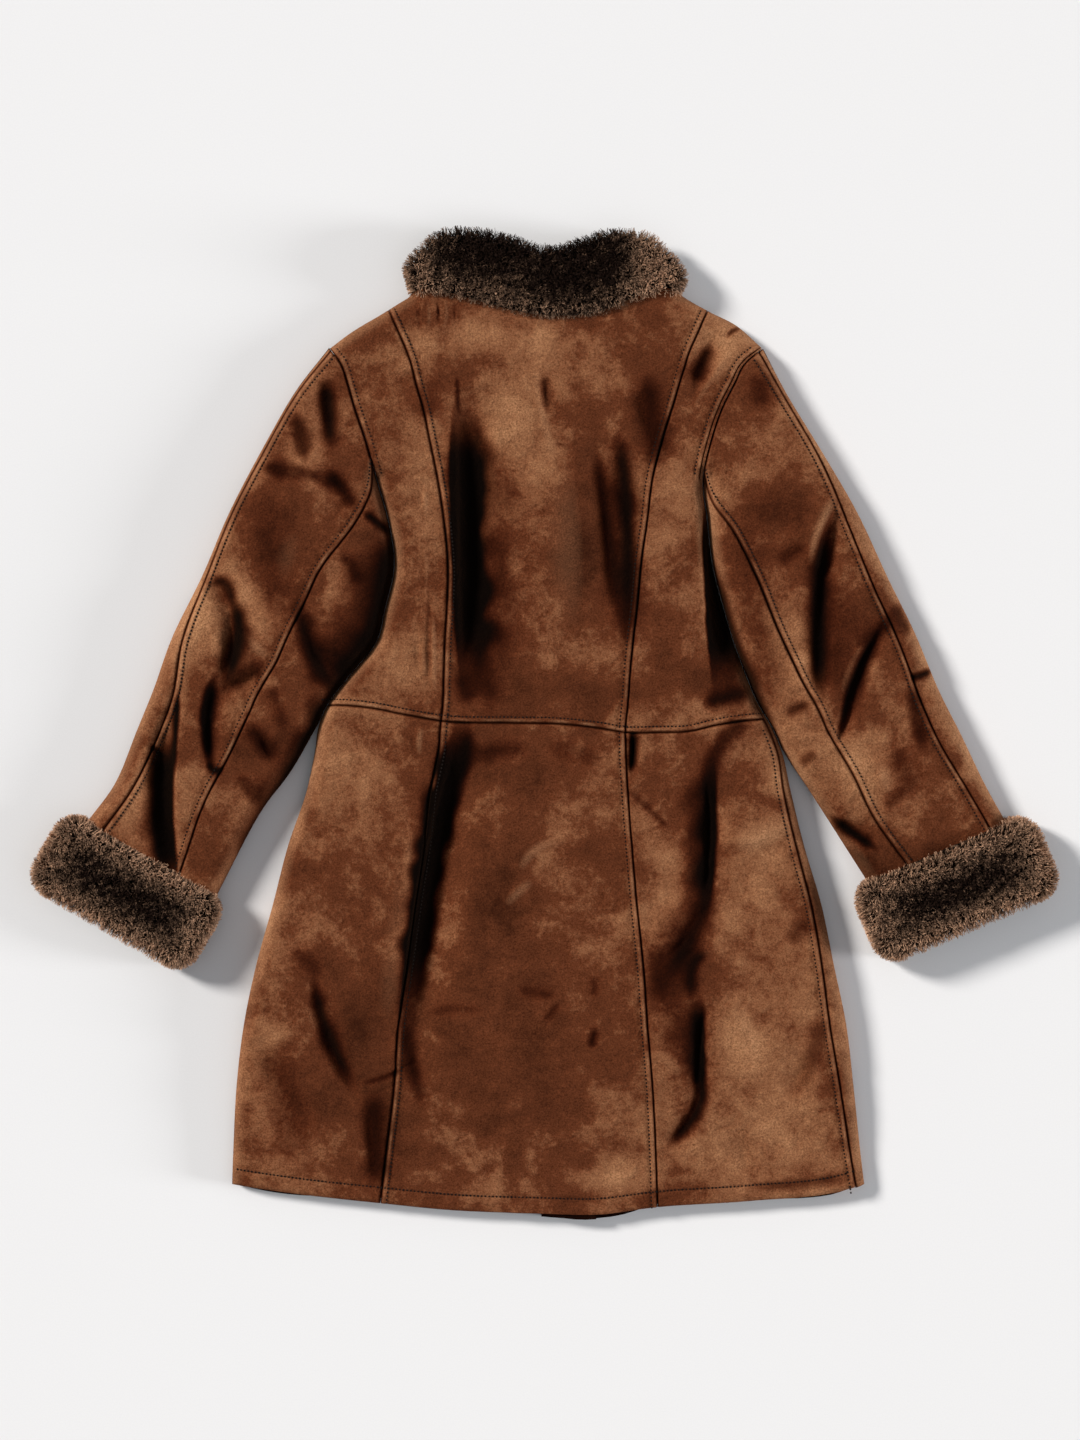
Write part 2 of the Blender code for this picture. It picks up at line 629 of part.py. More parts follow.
def build_front_right():
    """The right front: from the side seam on top, round the edge and under."""
    levels = front_levels()
    edge = body_column("right", levels)
    seam = body_column("side_seam", levels) + SEAM_GAP / 2
    on_top = np.array([1.0, 0.5])
    rows = []
    for a, s, v in zip(edge, seam, levels):
        y = level_y(np.array([0.0]), np.array([v]))[0]
        end = opening_x("right_front", y)
        wrap = list(a - (a - s) * on_top)
        under = [a - d for d in rim_steps(FRONT_RIM_RADIUS)]
        rows.append(wrap + under + list(np.linspace(under[-1], end, FRONT_COLUMNS + 2))[1:])
    x = np.array(rows)
    y = drop_hem(x, level_y(x, levels[:, None]), levels, "right_drop")
    pull_apart(x, y, 0.0, 0.0, 0.0, neck_gap(x[-1]))
    top = len(on_top)
    along = y > ARMHOLE_BOTTOM
    x = x - np.where(along & (x > edge[:, None] - 1.0), ARMHOLE_GAP / 2, 0.0)
    under_outer, under_inner = front_height(x, y, 0.0)
    top_outer, top_inner = back_height(x, y)
    outer = np.where(np.arange(x.shape[1]) < top, top_outer, under_outer)
    inner = np.where(np.arange(x.shape[1]) < top, top_inner, under_inner)
    rim = top
    outer[:, rim] = PARTING
    inner[:, rim] = PARTING
    turn = np.zeros(x.shape)
    turn[:, 1] = np.minimum(0.5 * TURN_BACK, 0.4 * (x[:, 1] - x[:, 0]))
    from_edge = edge[:, None] - x[:, rim:]
    turn[:, rim:] = TURN_BACK * np.clip(1 - from_edge / TURN_FADE, 0.0, 1.0)
    add_wall("front_right", stack(x, y, outer), stack(x - turn, y, inner), SUEDE)


# ---- sleeves -------------------------------------------------------------

def cuff_point(cuff, along, across):
    """World place of a point of a cuff: along its length, across to the hand."""
    turn = np.radians(cuff.degrees)
    x = cuff.x + along * np.cos(turn) + across * np.sin(turn)
    y = cuff.y + along * np.sin(turn) - across * np.cos(turn)
    return x, y


class Sleeve:
    """Plan and height of a sleeve: u from outer to inner edge, v down to 1."""

    def __init__(self, stations, cuff, side, edge_name):
        """Join the last station to the cuff and keep the two edges as paths."""
        self.side = side
        self.edge_name = edge_name
        end_from = cuff_point(cuff, cuff.sleeve_from, -cuff.width / 2 - CUFF_GAP)
        end_to = cuff_point(cuff, cuff.sleeve_to, -cuff.width / 2 - CUFF_GAP)
        last = stations[-1]._replace(outer_x=end_from[0], outer_y=end_from[1],
                                     inner_x=end_to[0], inner_y=end_to[1])
        self.stations = stations[:-1] + (last,)
        v = np.linspace(0, 1, SLEEVE_SAMPLES)
        self.outer_path = list(zip(self.read("outer_x", v), self.read("outer_y", v)))
        self.inner_path = list(zip(self.inner_x(v), self.read("inner_y", v)))

    def read(self, name, v):
        """A column of the stations at v."""
        places = np.linspace(0, 1, len(self.stations))
        return spline(places, column(self.stations, name), v)

    def inner_x(self, v):
        """Inner edge, kept clear of the body that it lies beside."""
        x = self.read("inner_x", v)
        y = self.read("inner_y", v)
        beside = body_x(self.edge_name, y) + self.side * SIDE_CLEARANCE
        return np.maximum(x * self.side, beside * self.side) * self.side

    def plan(self, u, v):
        """World place of the point (u, v)."""
        outer_x = self.read("outer_x", v)
        outer_y = self.read("outer_y", v)
        inner_x = self.inner_x(v)
        inner_y = self.read("inner_y", v)
        x = outer_x + (inner_x - outer_x) * u
        y = outer_y + (inner_y - outer_y) * u
        first = self.stations[0]
        seam_y = first.outer_y + (first.inner_y - first.outer_y) * u
        gap = ARMHOLE_GAP / 2 + (SIDE_CLEARANCE - ARMHOLE_GAP / 2) * u ** CLEARANCE_POWER
        seam_x = body_x(self.edge_name, np.minimum(seam_y, SHOULDER_TOP)) + self.side * gap
        straight = first.outer_x + (self.inner_x(np.zeros(1))[0] - first.outer_x) * u
        fade = np.clip(1 - v / ARMHOLE_FADE, 0.0, 1.0) ** 2
        return x + (seam_x - straight) * fade, y

    def width(self, v):
        """Straight distance between the two edges at v."""
        return np.hypot(self.read("outer_x", v) - self.inner_x(v),
                        self.read("outer_y", v) - self.read("inner_y", v))

    def rim_distance(self, x, y):
        """Distance to the nearer edge."""
        return np.minimum(distance_to_path(x, y, self.outer_path),
                          distance_to_path(x, y, self.inner_path))

    def top(self, x, y, u, v):
        """Outer and inner height of the upper side."""
        along = smooth_step(v / CROWN_RISE) * smooth_step((CROWN_END - v) / CROWN_RISE)
        crown = SLEEVE_CROWN * (1 - (2 * u - 1) ** 2) * along
        full = np.maximum(SLEEVE_HEIGHT + crown - fold_depth(SLEEVE_FOLDS, x, y), PARTING + WALL + 1)
        outer = PARTING + (full - PARTING) * rounding(self.rim_distance(x, y), BACK_RIM_RADIUS)
        return outer, np.maximum(outer - WALL, PARTING + SEAM_GAP)

    def bottom(self, x, y):
        """Outer and inner height of the under side."""
        rim = rounding(self.rim_distance(x, y), FRONT_RIM_RADIUS)
        outer = PARTING * (1 - rim)
        return outer, np.minimum(outer + WALL, PARTING - SEAM_GAP)


def ring_piece(sleeve, name, over, under, turns_at):
    """One sleeve piece that goes round an edge.

    over and under give, for each v, the shares u of its columns above and
    below; the last of over is the rim, and so is the first of under.
    turns_at is 0 for the outer edge and 1 for the inner edge.
    """
    v = np.linspace(0.0, 1.0, SLEEVE_ROWS + 1)
    top_u = np.array([over(value) for value in v])
    low_u = np.array([under(value) for value in v])
    u = np.concatenate((top_u, low_u[:, 1:]), axis=1)
    rim = top_u.shape[1] - 1
    vv = v[:, None]
    x, y = sleeve.plan(u, vv)
    half = SEAM_GAP / 2
    pull_apart(x, y, half, half, 0.0, 0.0)
    top_outer, top_inner = sleeve.top(x, y, u, vv)
    low_outer, low_inner = sleeve.bottom(x, y)
    index = np.arange(u.shape[1])
    outer = np.where(index < rim, top_outer, low_outer)
    inner = np.where(index < rim, top_inner, low_inner)
    outer[:, rim] = PARTING
    inner[:, rim] = PARTING
    width = sleeve.width(vv)
    from_rim = np.abs(u - turns_at) * width
    seam_distance = from_rim[:, :1]
    turn = np.where(index < rim, TURN_BACK * (1 - from_rim / seam_distance),
                    TURN_BACK * np.clip(1 - from_rim / TURN_FADE, 0.0, 1.0))
    inward = 1.0 if turns_at == 0 else -1.0
    inner_x, inner_y = sleeve.plan(u + inward * turn / width, vv)
    seam = [0, -1]
    inner_x[:, seam] = x[:, seam]
    inner_y[:, seam] = y[:, seam]
    add_wall(name, stack(x, y, outer), stack(inner_x, inner_y, inner), SUEDE)


def build_sleeve(stations, cuff, side, edge_name, suffix):
    """The three pieces of a sleeve."""
    sleeve = Sleeve(stations, cuff, side, edge_name)

    def from_seam_to_rim(seam, rim, count, v):
        """Shares from a seam on top to a rim, closer near the rim."""
        steps = np.array(rim_steps(BACK_RIM_RADIUS)[:-1]) / sleeve.width(v)
        reach = abs(rim - seam)
        steps = np.minimum(steps, reach * np.array([0.0, 0.25, 0.6]))
        far = np.linspace(reach, steps[-1], count + 1)[:-1]
        shares = np.concatenate((far, steps[::-1]))
        return rim + np.sign(seam - rim) * shares

    def rim_to_under_seam(rim, count, v):
        """Shares from a rim to the seam underneath."""
        steps = np.array(rim_steps(FRONT_RIM_RADIUS)) / sleeve.width(v)
        far = np.linspace(steps[-1], abs(rim - UNDER_SEAM), count + 1)[1:]
        shares = np.concatenate((steps, far))
        return rim + np.sign(UNDER_SEAM - rim) * shares

    ring_piece(sleeve, "sleeve_front_" + suffix,
               lambda v: from_seam_to_rim(sleeve.read("outer_seam", v), 0.0, 1, v),
               lambda v: rim_to_under_seam(0.0, 2, v), 0)
    ring_piece(sleeve, "sleeve_under_" + suffix,
               lambda v: from_seam_to_rim(sleeve.read("inner_seam", v), 1.0, 3, v),
               lambda v: rim_to_under_seam(1.0, 2, v), 1)

    v = np.linspace(0.0, 1.0, SLEEVE_ROWS + 1)[:, None]
    share = np.linspace(0.0, 1.0, SLEEVE_BACK_COLUMNS + 1) ** SEAM_CROWDING
    first = sleeve.read("outer_seam", v)
    last = sleeve.read("inner_seam", v)
    u = first + (last - first) * share
    x, y = sleeve.plan(u, v)
    half = SEAM_GAP / 2
    pull_apart(x, y, half, half, 0.0, 0.0)
    outer, inner = sleeve.top(x, y, u, v)
    add_wall("sleeve_back_" + suffix, stack(x, y, outer), stack(x, y, inner), SUEDE)


# ---- fur -----------------------------------------------------------------

def fur_band(top, bottom, thin):
    """Heights of a fur layer that thins out towards its free edges."""
    middle = 0.5 * (top + bottom)
    half = 0.5 * (top - bottom)
    return middle + half * thin, middle - half * thin


def build_cuff(cuff, name):
    """A flattened tube of fur round the end of a sleeve."""
    across_share = np.array(CUFF_ACROSS)
    along_share = np.array(CUFF_ALONG)
    b = across_share[:, None] * cuff.width / 2
    corner = CUFF_CORNER * (1 - rounding(cuff.width / 2 - np.abs(b), CUFF_CORNER))
    half_length = cuff.length / 2 - corner
    over = along_share[None, :] * half_length
    ring_a = np.concatenate((over, over[:, -2:0:-1]), axis=1)
    upper = np.arange(ring_a.shape[1]) < over.shape[1]
    from_end = half_length - np.abs(ring_a)
    rim = rounding(from_end, CUFF_RIM_RADIUS)
    at_rim = from_end < 1e-6
    middle = CUFF_HEIGHT / 2
    top = middle + (CUFF_HEIGHT - middle) * rim
    low = middle * (1 - rim)
    thin = np.sqrt(1 - across_share[:, None] ** FUR_ROUNDNESS)
    thin = FUR_EDGE + (1 - FUR_EDGE) * thin
    slot = FUR_SLOT / 2
    top_outer, top_inner = fur_band(top, top - CUFF_WALL, thin)
    low_outer, low_inner = fur_band(low, low + CUFF_WALL, thin)
    outer = np.where(upper, top_outer, low_outer)
    inner = np.where(upper, np.maximum(top_inner, middle + slot), np.minimum(low_inner, middle - slot))
    outer = np.where(at_rim, middle, outer)
    inner = np.where(at_rim, middle, inner)
    lowest = np.where(upper | at_rim, outer, np.maximum(low_outer - low_outer.min(), 0.0))
    turn = CUFF_WALL * thin * (1 - from_end / half_length)
    inner_a = ring_a - np.sign(ring_a) * turn
    x, y = cuff_point(cuff, ring_a, b)
    inner_x, inner_y = cuff_point(cuff, inner_a, b)
    add_wall(name, stack(x, y, lowest), stack(inner_x, inner_y, inner), FUR, closed=True)


def neck_row():
    """The points of the centre back along the neck."""
    x, y = body_grid("left_seam", "right_seam", np.array([2.0]), CENTRE_COLUMNS)
    return x[0], y[0]


def collar_plan(s, v):
    """Place of a point of the collar: s from left to right, v foot to edge."""
    neck_x, neck_y = neck_row()
    foot_x = COLLAR_FOOT[0] + (COLLAR_FOOT[1] - COLLAR_FOOT[0]) * s
    foot_y = np.interp(foot_x, neck_x, neck_y) + COLLAR_GAP
    edge_t = np.linspace(0, 1, len(COLLAR_EDGE))
    edge_s = 0.5 + (s - 0.5) * COLLAR_EDGE_SHARE
    edge_x = spline(edge_t, column(COLLAR_EDGE, "x"), edge_s)
    edge_y = spline(edge_t, column(COLLAR_EDGE, "y"), edge_s)
    return foot_x + (edge_x - foot_x) * v, foot_y + (edge_y - foot_y) * v


def build_collar():
    """A band of fur from one front end, over the back neck, to the other."""
    v = np.array(COLLAR_UP)[:, None]
    width = COLLAR_FOOT[1] - COLLAR_FOOT[0]
    neck = (neck_row()[0] - COLLAR_FOOT[0]) / width
    left_turn = np.array(rim_steps(COLLAR_RIM_RADIUS)[:0:-1]) / width
    neck = neck[(neck > left_turn[0] + 0.01) & (neck < 0.99 - left_turn[0])]
    over = np.concatenate(([0.0], left_turn[::-1], neck, 1 - left_turn, [1.0]))
    gap = 0.5 * COLLAR_FRONT_GAP / width
    left_under = np.concatenate(([0.5 - gap], neck[neck < 0.5 - 2 * gap][::-1]))
    right_under = np.concatenate((neck[neck > 0.5 + 2 * gap][::-1], [0.5 + gap]))
    s = np.concatenate((left_under, left_turn, over, 1 - left_turn[::-1], right_under))
    first_top = len(left_under) + len(left_turn)
    last_top = first_top + len(over) - 1
    index = np.arange(len(s))
    upper = (index >= first_top) & (index <= last_top)
    at_rim = (index == first_top) | (index == last_top)
    x, y = collar_plan(s, v)
    left_path = list(zip(x[:, first_top], y[:, first_top]))
    right_path = list(zip(x[:, last_top], y[:, last_top]))
    from_end = np.minimum(distance_to_path(x, y, left_path), distance_to_path(x, y, right_path))
    rim = rounding(from_end, COLLAR_RIM_RADIUS)
    middle = COLLAR_HEIGHT / 2
    top = middle + (COLLAR_HEIGHT - middle) * rim
    low = middle * (1 - rim)
    edge_share = np.abs(2 * v - 1)
    thin = FUR_EDGE + (1 - FUR_EDGE) * np.sqrt(1 - edge_share ** FUR_ROUNDNESS)
    slot = FUR_SLOT / 2
    top_outer, top_inner = fur_band(top, top - COLLAR_WALL, thin)
    low_outer, low_inner = fur_band(low, low + COLLAR_WALL, thin)
    low_outer = np.where(rim > 0.999, 0.0, low_outer)
    outer = np.where(at_rim, middle, np.where(upper, top_outer, low_outer))
    inner = np.where(upper, np.maximum(top_inner, middle + slot), np.minimum(low_inner, middle - slot))
    inner = np.where(at_rim, middle, inner)
    turn = COLLAR_WALL * thin * np.clip(1 - from_end / TURN_FADE, 0.0, 1.0)
    turned = s + np.where(s < 0.5, turn, -turn) / width
    inner_x, inner_y = collar_plan(turned, v)
    inner_y[0] += COLLAR_INNER_FOOT
    ends = [0, -1]
    inner_x[:, ends] = x[:, ends]
    inner_y[:, ends] = y[:, ends]
    add_wall("collar", stack(x, y, outer), stack(inner_x, inner_y, inner), FUR)


def centre_parts(collection):
    """Put the origin under the middle of the coat's box."""
    parts = list(collection.objects)
    points = np.array([vertex.co[:] for part in parts for vertex in part.data.vertices])
    middle = 0.5 * (points.min(axis=0) + points.max(axis=0))
    shift = Matrix.Translation((-middle[0], -middle[1], 0.0))
    for part in parts:
        part.data.transform(shift)


def clear_scene():
    """Start without any object."""
    for thing in list(bpy.data.objects):
        bpy.data.objects.remove(thing, do_unlink=True)


def main():
    """Build every piece of the coat."""
    clear_scene()
    collection = bpy.data.collections.new(COLLECTION_NAME)
    bpy.context.scene.collection.children.link(collection)
    build_back()
    build_front_left()
    build_front_right()
    build_sleeve(SLEEVE_LEFT, CUFF_LEFT, -1.0, "left", "left")
    build_sleeve(SLEEVE_RIGHT, CUFF_RIGHT, 1.0, "right", "right")
    build_cuff(CUFF_LEFT, "cuff_left")
    build_cuff(CUFF_RIGHT, "cuff_right")
    build_collar()
    centre_parts(collection)


main()
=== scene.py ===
"""Looks of a women's mid-thigh shearling coat that lies flat on its front.

The suede pieces are thin shells on the same sections as the solids, with seams,
turned hem, creases and topstitching in them.  The collar and the cuffs are hide
skins with curly pile on them.  Lengths in the tables are millimetres: X runs
across the coat, Y up from the hem to the collar, Z up from the table.  Left and
right are the wearer's, and the left is at -X.
"""
import logging
import math
from dataclasses import dataclass, field
from enum import Enum
from typing import Iterator, NamedTuple, Sequence

import bpy
import numpy as np
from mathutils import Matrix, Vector


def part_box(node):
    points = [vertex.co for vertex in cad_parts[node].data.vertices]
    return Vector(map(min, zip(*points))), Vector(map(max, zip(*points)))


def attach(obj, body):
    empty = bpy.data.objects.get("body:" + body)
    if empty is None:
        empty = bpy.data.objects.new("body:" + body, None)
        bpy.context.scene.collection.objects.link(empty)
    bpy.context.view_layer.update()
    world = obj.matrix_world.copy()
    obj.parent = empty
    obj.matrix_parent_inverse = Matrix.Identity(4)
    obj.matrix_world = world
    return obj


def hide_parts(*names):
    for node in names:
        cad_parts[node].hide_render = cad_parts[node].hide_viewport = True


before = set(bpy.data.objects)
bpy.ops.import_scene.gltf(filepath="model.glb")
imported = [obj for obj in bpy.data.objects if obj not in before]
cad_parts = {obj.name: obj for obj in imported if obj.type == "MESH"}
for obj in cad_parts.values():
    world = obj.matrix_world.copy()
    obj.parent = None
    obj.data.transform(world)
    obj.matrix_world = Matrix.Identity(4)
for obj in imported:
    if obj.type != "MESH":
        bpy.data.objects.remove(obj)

LOG = logging.getLogger("coat")
MM = 0.001                      # metres in a millimetre
FAR = 1e9                       # farther than anything, in millimetres
Array = np.ndarray
Heights = tuple[Array, Array, dict[str, Array]]     # two heights, and the marks
Socket = bpy.types.NodeSocket
Node = bpy.types.Node
Tree = bpy.types.NodeTree
Material = bpy.types.Material
Piece = bpy.types.Object


# ---- tables of the cut ----------------------------------------------------

def rows_of(kind: type, *rows: tuple) -> tuple:
    """A table: each row gets the named columns of its kind."""
    return tuple(kind(*row) for row in rows)


class Section(NamedTuple):
    """Edges and seams of the body at one height."""

    y: float
    left: float
    left_seam: float
    right_seam: float
    side_seam: float
    right: float


BODY = rows_of(Section,
    (363, -208, -134, 141, 208, 211), (349, -197, -129, 136, 191, 194),
    (329, -190, -124, 130, 180, 183), (305, -183, -117, 123, 168, 171),
    (276, -173, -111, 114, 158, 161), (237, -162, -103, 104, 150, 153),
    (198, -151, -97, 99, 154, 157), (154, -145, -93, 93, 159, 162), (111, -154, -94, 89, 170, 173),
    (78, -163, -96, 85, 180, 183), (46, -189, -97, 82, 192, 195), (18, -210, -98, 80, 204, 207),
    (0, -218, -100, 78, 214, 218), (-25, -222, -102, 78, 224, 229),
    (-64, -230, -110, 80, 230, 238), (-117, -248, -116, 84, 242, 251),
    (-175, -263, -125, 89, 257, 268), (-233, -279, -133, 95, 267, 280),
    (-291, -291, -141, 99, 275, 292), (-350, -298, -145, 104, 285, 299),
    (-408, -301, -152, 107, 294, 305), (-466, -303, -159, 109, 304, 312),
)
SHOULDER_TOP = 363.0            # sections above this belong to the shoulder line
SHOULDER_BEND = 1.25            # seams lean so much more above it
ARMHOLE_BOTTOM = 237.0


class Across(NamedTuple):
    """A point of a line that runs across the coat."""

    x: float
    y: float


TOP_LINE = rows_of(Across,  # shoulder, back neck under the collar, shoulder
    (-208, 363), (-191, 376), (-155, 398), (-134, 411), (-118, 420), (-97, 417), (-71, 410),
    (-30, 399), (8, 394), (51, 397), (82, 409), (110, 420), (126, 418), (141, 409), (161, 398),
    (186, 385), (211, 363),
)
WAIST_LINE = rows_of(Across,
    (-218, 18), (-194, 18), (-165, 15), (-135, 9), (-100, 3), (-31, 1), (15, 0), (52, -4),
    (77, -8), (110, -8), (139, -7), (165, -1), (190, 3), (218, 5),
)
HEM_LINE = rows_of(Across,
    (-303, -445), (-241, -454), (-160, -463), (-88, -470), (-3, -473), (50, -474), (109, -467),
    (199, -461), (288, -451), (312, -444),
)
COLLAR_EDGE = rows_of(Across,
    (-133, 424), (-129, 441), (-121, 454), (-109, 469), (-97, 477), (-72, 478), (-52, 476),
    (-33, 471), (-14, 463), (0, 460), (15, 461), (36, 469), (64, 478), (89, 477), (102, 472),
    (112, 461), (123, 446), (131, 431), (134, 421),
)


class FrontHem(NamedTuple):
    """How far each front shows below the hem of the back, at x."""

    x: float
    left_drop: float
    right_drop: float


FRONT_HEM = rows_of(FrontHem,
    (-303, -1.0, 0.0), (-280, 1.5, 0.0), (-235, 1.5, 0.0), (-200, -2.0, 0.0), (-40, -2.0, 3.0),
    (-3, 0.5, 3.8), (12, 3.0, 4.5), (50, 4.5, 4.5), (80, 0.0, 3.0), (105, 0.0, -2.0),
    (160, 0.0, -1.0), (177, 0.0, 1.0), (195, 0.0, -1.0), (245, 0.0, 1.5), (300, 0.0, 1.5),
    (312, 0.0, 0.0),
)


class Opening(NamedTuple):
    """The two front edges at one height."""

    y: float
    right_front: float
    left_front: float


OPENING = rows_of(Opening,
    (-480, -3, 50), (-200, -8, 45), (0, -14, 39), (420, -25, 27),
)


class Station(NamedTuple):
    """A section of a sleeve: its edges and the shares where its seams are."""

    outer_x: float
    outer_y: float
    inner_x: float
    inner_y: float
    outer_seam: float
    inner_seam: float


SLEEVE_LEFT = rows_of(Station,
    (-208, 364, -162, 239, 0.030, 0.90), (-242, 320, -152, 203, 0.022, 0.82),
    (-276, 261, -145, 160, 0.022, 0.70), (-306, 203, -152, 116, 0.022, 0.60),
    (-331, 144, -167, 72, 0.030, 0.57), (-360, 85, -194, 40, 0.070, 0.61),
    (-378, 35, -218, 2, 0.130, 0.60), (-395, -7, -245, -45, 0.145, 0.61),
    (-415, -56, -277, -89, 0.140, 0.63), (-442, -94, -316, -163, 0.130, 0.72),
)
SLEEVE_RIGHT = rows_of(Station,
    (211, 363, 153, 233, 0.030, 0.93), (234, 320, 155, 206, 0.030, 0.92),
    (270, 261, 159, 166, 0.045, 0.80), (303, 204, 169, 121, 0.094, 0.75),
    (332, 142, 185, 74, 0.110, 0.735), (358, 89, 205, 21, 0.117, 0.72),
    (381, 34, 234, -31, 0.136, 0.715), (403, -10, 256, -64, 0.154, 0.72),
    (426, -58, 281, -103, 0.127, 0.745), (446, -93, 311, -152, 0.124, 0.72),
)
UNDER_SEAM = 0.5                # the third sleeve seam, underneath


class Cuff(NamedTuple):
    """Centre, turn, size and the stretch where the sleeve comes in."""

    x: float
    y: float
    degrees: float
    length: float
    width: float
    sleeve_from: float
    sleeve_to: float


CUFF_LEFT = Cuff(-404, -162, -30.0, 183, 80, -67, 77)
CUFF_RIGHT = Cuff(397.6, -159, 23.0, 193, 80, 70, -76)


class Fold(NamedTuple):
    """A trough along a curve through three points; a ridge has depth < 0.

    lean above 1 makes the side on the left of the way gentler.
    """

    x1: float
    y1: float
    x2: float
    y2: float
    x3: float
    y3: float
    half_width: float
    depth: float
    lean: float = 1.0


BACK_FOLDS = rows_of(Fold,
    (-74, 325, -66, 179, -74, 22, 15, 11, 1.6),         # long fold, centre back
    (-92, 300, -86, 179, -92, 60, 9, -3),               # ridge on its left
    (52, 276, 60, 189, 66, 100, 17, 7),
    (89, 320, 98, 298, 107, 276, 11, 4),
    (-3, 338, 2, 310, 11, 276, 12, 3),
    (15, 260, 22, 180, 20, 70, 24, -4),
    (162, 383, 153, 342, 141, 303, 10, 5),
    (162, 205, 170, 121, 184, 55, 11, 10, 0.6),         # pocket beside the sleeve
    (-74, -22, -101, -170, -129, -345, 13, 12, 1.7),    # long fold, left skirt
    (-118, -80, -140, -200, -152, -300, 16, -4),
    (-227, -219, -205, -311, -175, -370, 14, 7),
    (-173, -369, -166, -403, -167, -442, 12, 4),
    (-281, -306, -261, -345, -237, -393, 16, 4),
    (157, -50, 160, -110, 153, -170, 11, 9, 1.5),       # hollow, right skirt
    (154, -172, 143, -204, 116, -220, 11, 5),
    (145, -268, 151, -335, 143, -378, 11, 7),
    (143, -378, 133, -393, 116, -412, 11, 6),
    (84, -12, 84, -32, 83, -52, 8, 4),
    (233, -90, 194, -101, 170, -122, 14, -4),
    (199, -20, 185, -34, 170, -49, 12, 3),
    (248, -316, 243, -335, 238, -355, 14, 3),
    (185, -400, 190, -418, 194, -435, 14, 3),
)
SLEEVE_FOLDS = rows_of(Fold,
    (279, 205, 268, 121, 266, 28, 14, 9, 0.7),          # right upper arm
    (277, 222, 261, 184, 258, 150, 8, -4),
    (328, 95, 302, 43, 281, -22, 11, 8),
    (356, 58, 362, 38, 367, 18, 11, 4),
    (285, -95, 301, -105, 318, -116, 10, 7),
    (-215, 330, -211, 300, -208, 268, 10, 5),           # left upper arm
    (-220, 244, -198, 223, -187, 206, 12, 6),
    (-323, 134, -302, 82, -320, 0, 12, 8, 0.7),
    (-320, 4, -323, -20, -314, -40, 10, 6),
    (-278, 50, -293, 39, -308, 31, 8, 5),
    (-226, 104, -222, 77, -217, 50, 11, 4),
    (-352, 38, -370, -54, -356, -146, 12, 10, 0.8),     # deep valley, left forearm
    (-274, -6, -268, -23, -264, -38, 10, 4),
)


# ---- sizes ----------------------------------------------------------------

@dataclass(frozen=True)
class ClothSizes:
    """Wall, gaps and heights of the suede pieces, in millimetres."""

    wall: float = 7.0
    least_wall: float = 2.6         # pressed down at the bottom of a fold
    thinnest: float = 1.0           # in a seam or a crease
    seam_gap: float = 0.3
    armhole_gap: float = 0.8
    side_clearance: float = 1.0
    parting: float = 8.0            # where back and front meet along an edge
    rim_thickness: float = 2.0
    turn_back: float = 5.0          # the inside of a folded edge lies so far in
    turn_fade: float = 40.0
    narrow_strip: float = 60.0      # a strip no wider has fewer rows at its edge
    body_height: float = 27.0
    hem_height: float = 17.0
    hem_flattening: float = 190.0
    sleeve_height: float = 27.0
    sleeve_crown: float = 8.0
    crown_end: float = 1.15         # shares of the sleeve's length
    end_fade: float = 0.3           # over which its ends take effect
    upper_rim: float = 17.0         # rounding radius of an edge, upper side
    under_rim: float = 9.0
    under_step: float = 20.0        # the last row before the flat of the under side
    under_lift: float = 2.6         # creases on the table are this high
    hem_rounding: float = 5.0
    lap_lift: float = 7.3
    lap_sink: float = 0.6           # how far the back sinks into the step of the lap
    lap_ramp: float = 24.0
    lap_margin: float = 3.0
    lap_overhang: float = 10.0
    sleeve_length: float = 510.0
    skirt_length: float = 460.0
    bodice_length: float = 380.0


@dataclass(frozen=True)
class FurSizes:
    """Where the collar and the cuffs are, in millimetres."""

    collar_height: float = 35.0
    collar_rim: float = 17.0
    collar_front_gap: float = 12.0
    collar_gap: float = 0.6
    front_neck_gap: float = 4.5
    shoulder_gap: float = 1.0
    collar_foot_left: float = -131.0
    collar_foot_right: float = 132.0
    collar_edge_share: float = 0.94
    cuff_height: float = 39.0
    cuff_rim: float = 19.0
    cuff_corner: float = 20.0
    cuff_gap: float = 0.5


@dataclass(frozen=True)
class Spacing:
    """Distance between the rows and columns of the shells, in millimetres."""

    cloth: float = 2.3
    quick: float = 4.6
    inside: int = 4                 # the inside has one row for so many outside


@dataclass(frozen=True)
class HollowForm:
    """Ends of the painted shade of a hollow, as shares of its length and of its width."""

    fading: float = 0.3
    narrowing: float = 0.6
    ragged: float = 0.28            # how much its width changes along the way
    ragged_step: float = 17.0       # millimetres


CLOTH = ClothSizes()
FUR = FurSizes()
STEP = Spacing()
HOLLOW = HollowForm()
PITCH = STEP.cloth
FOLD_STEPS = 16                 # straight stretches of a fold's curve
FOLD_END = 0.6                  # lower makes the ends of a fold blunter


# ---- curves ---------------------------------------------------------------

def column(table: Sequence[NamedTuple], name: str) -> list[float]:
    """One column of a table."""
    return [getattr(row, name) for row in table]


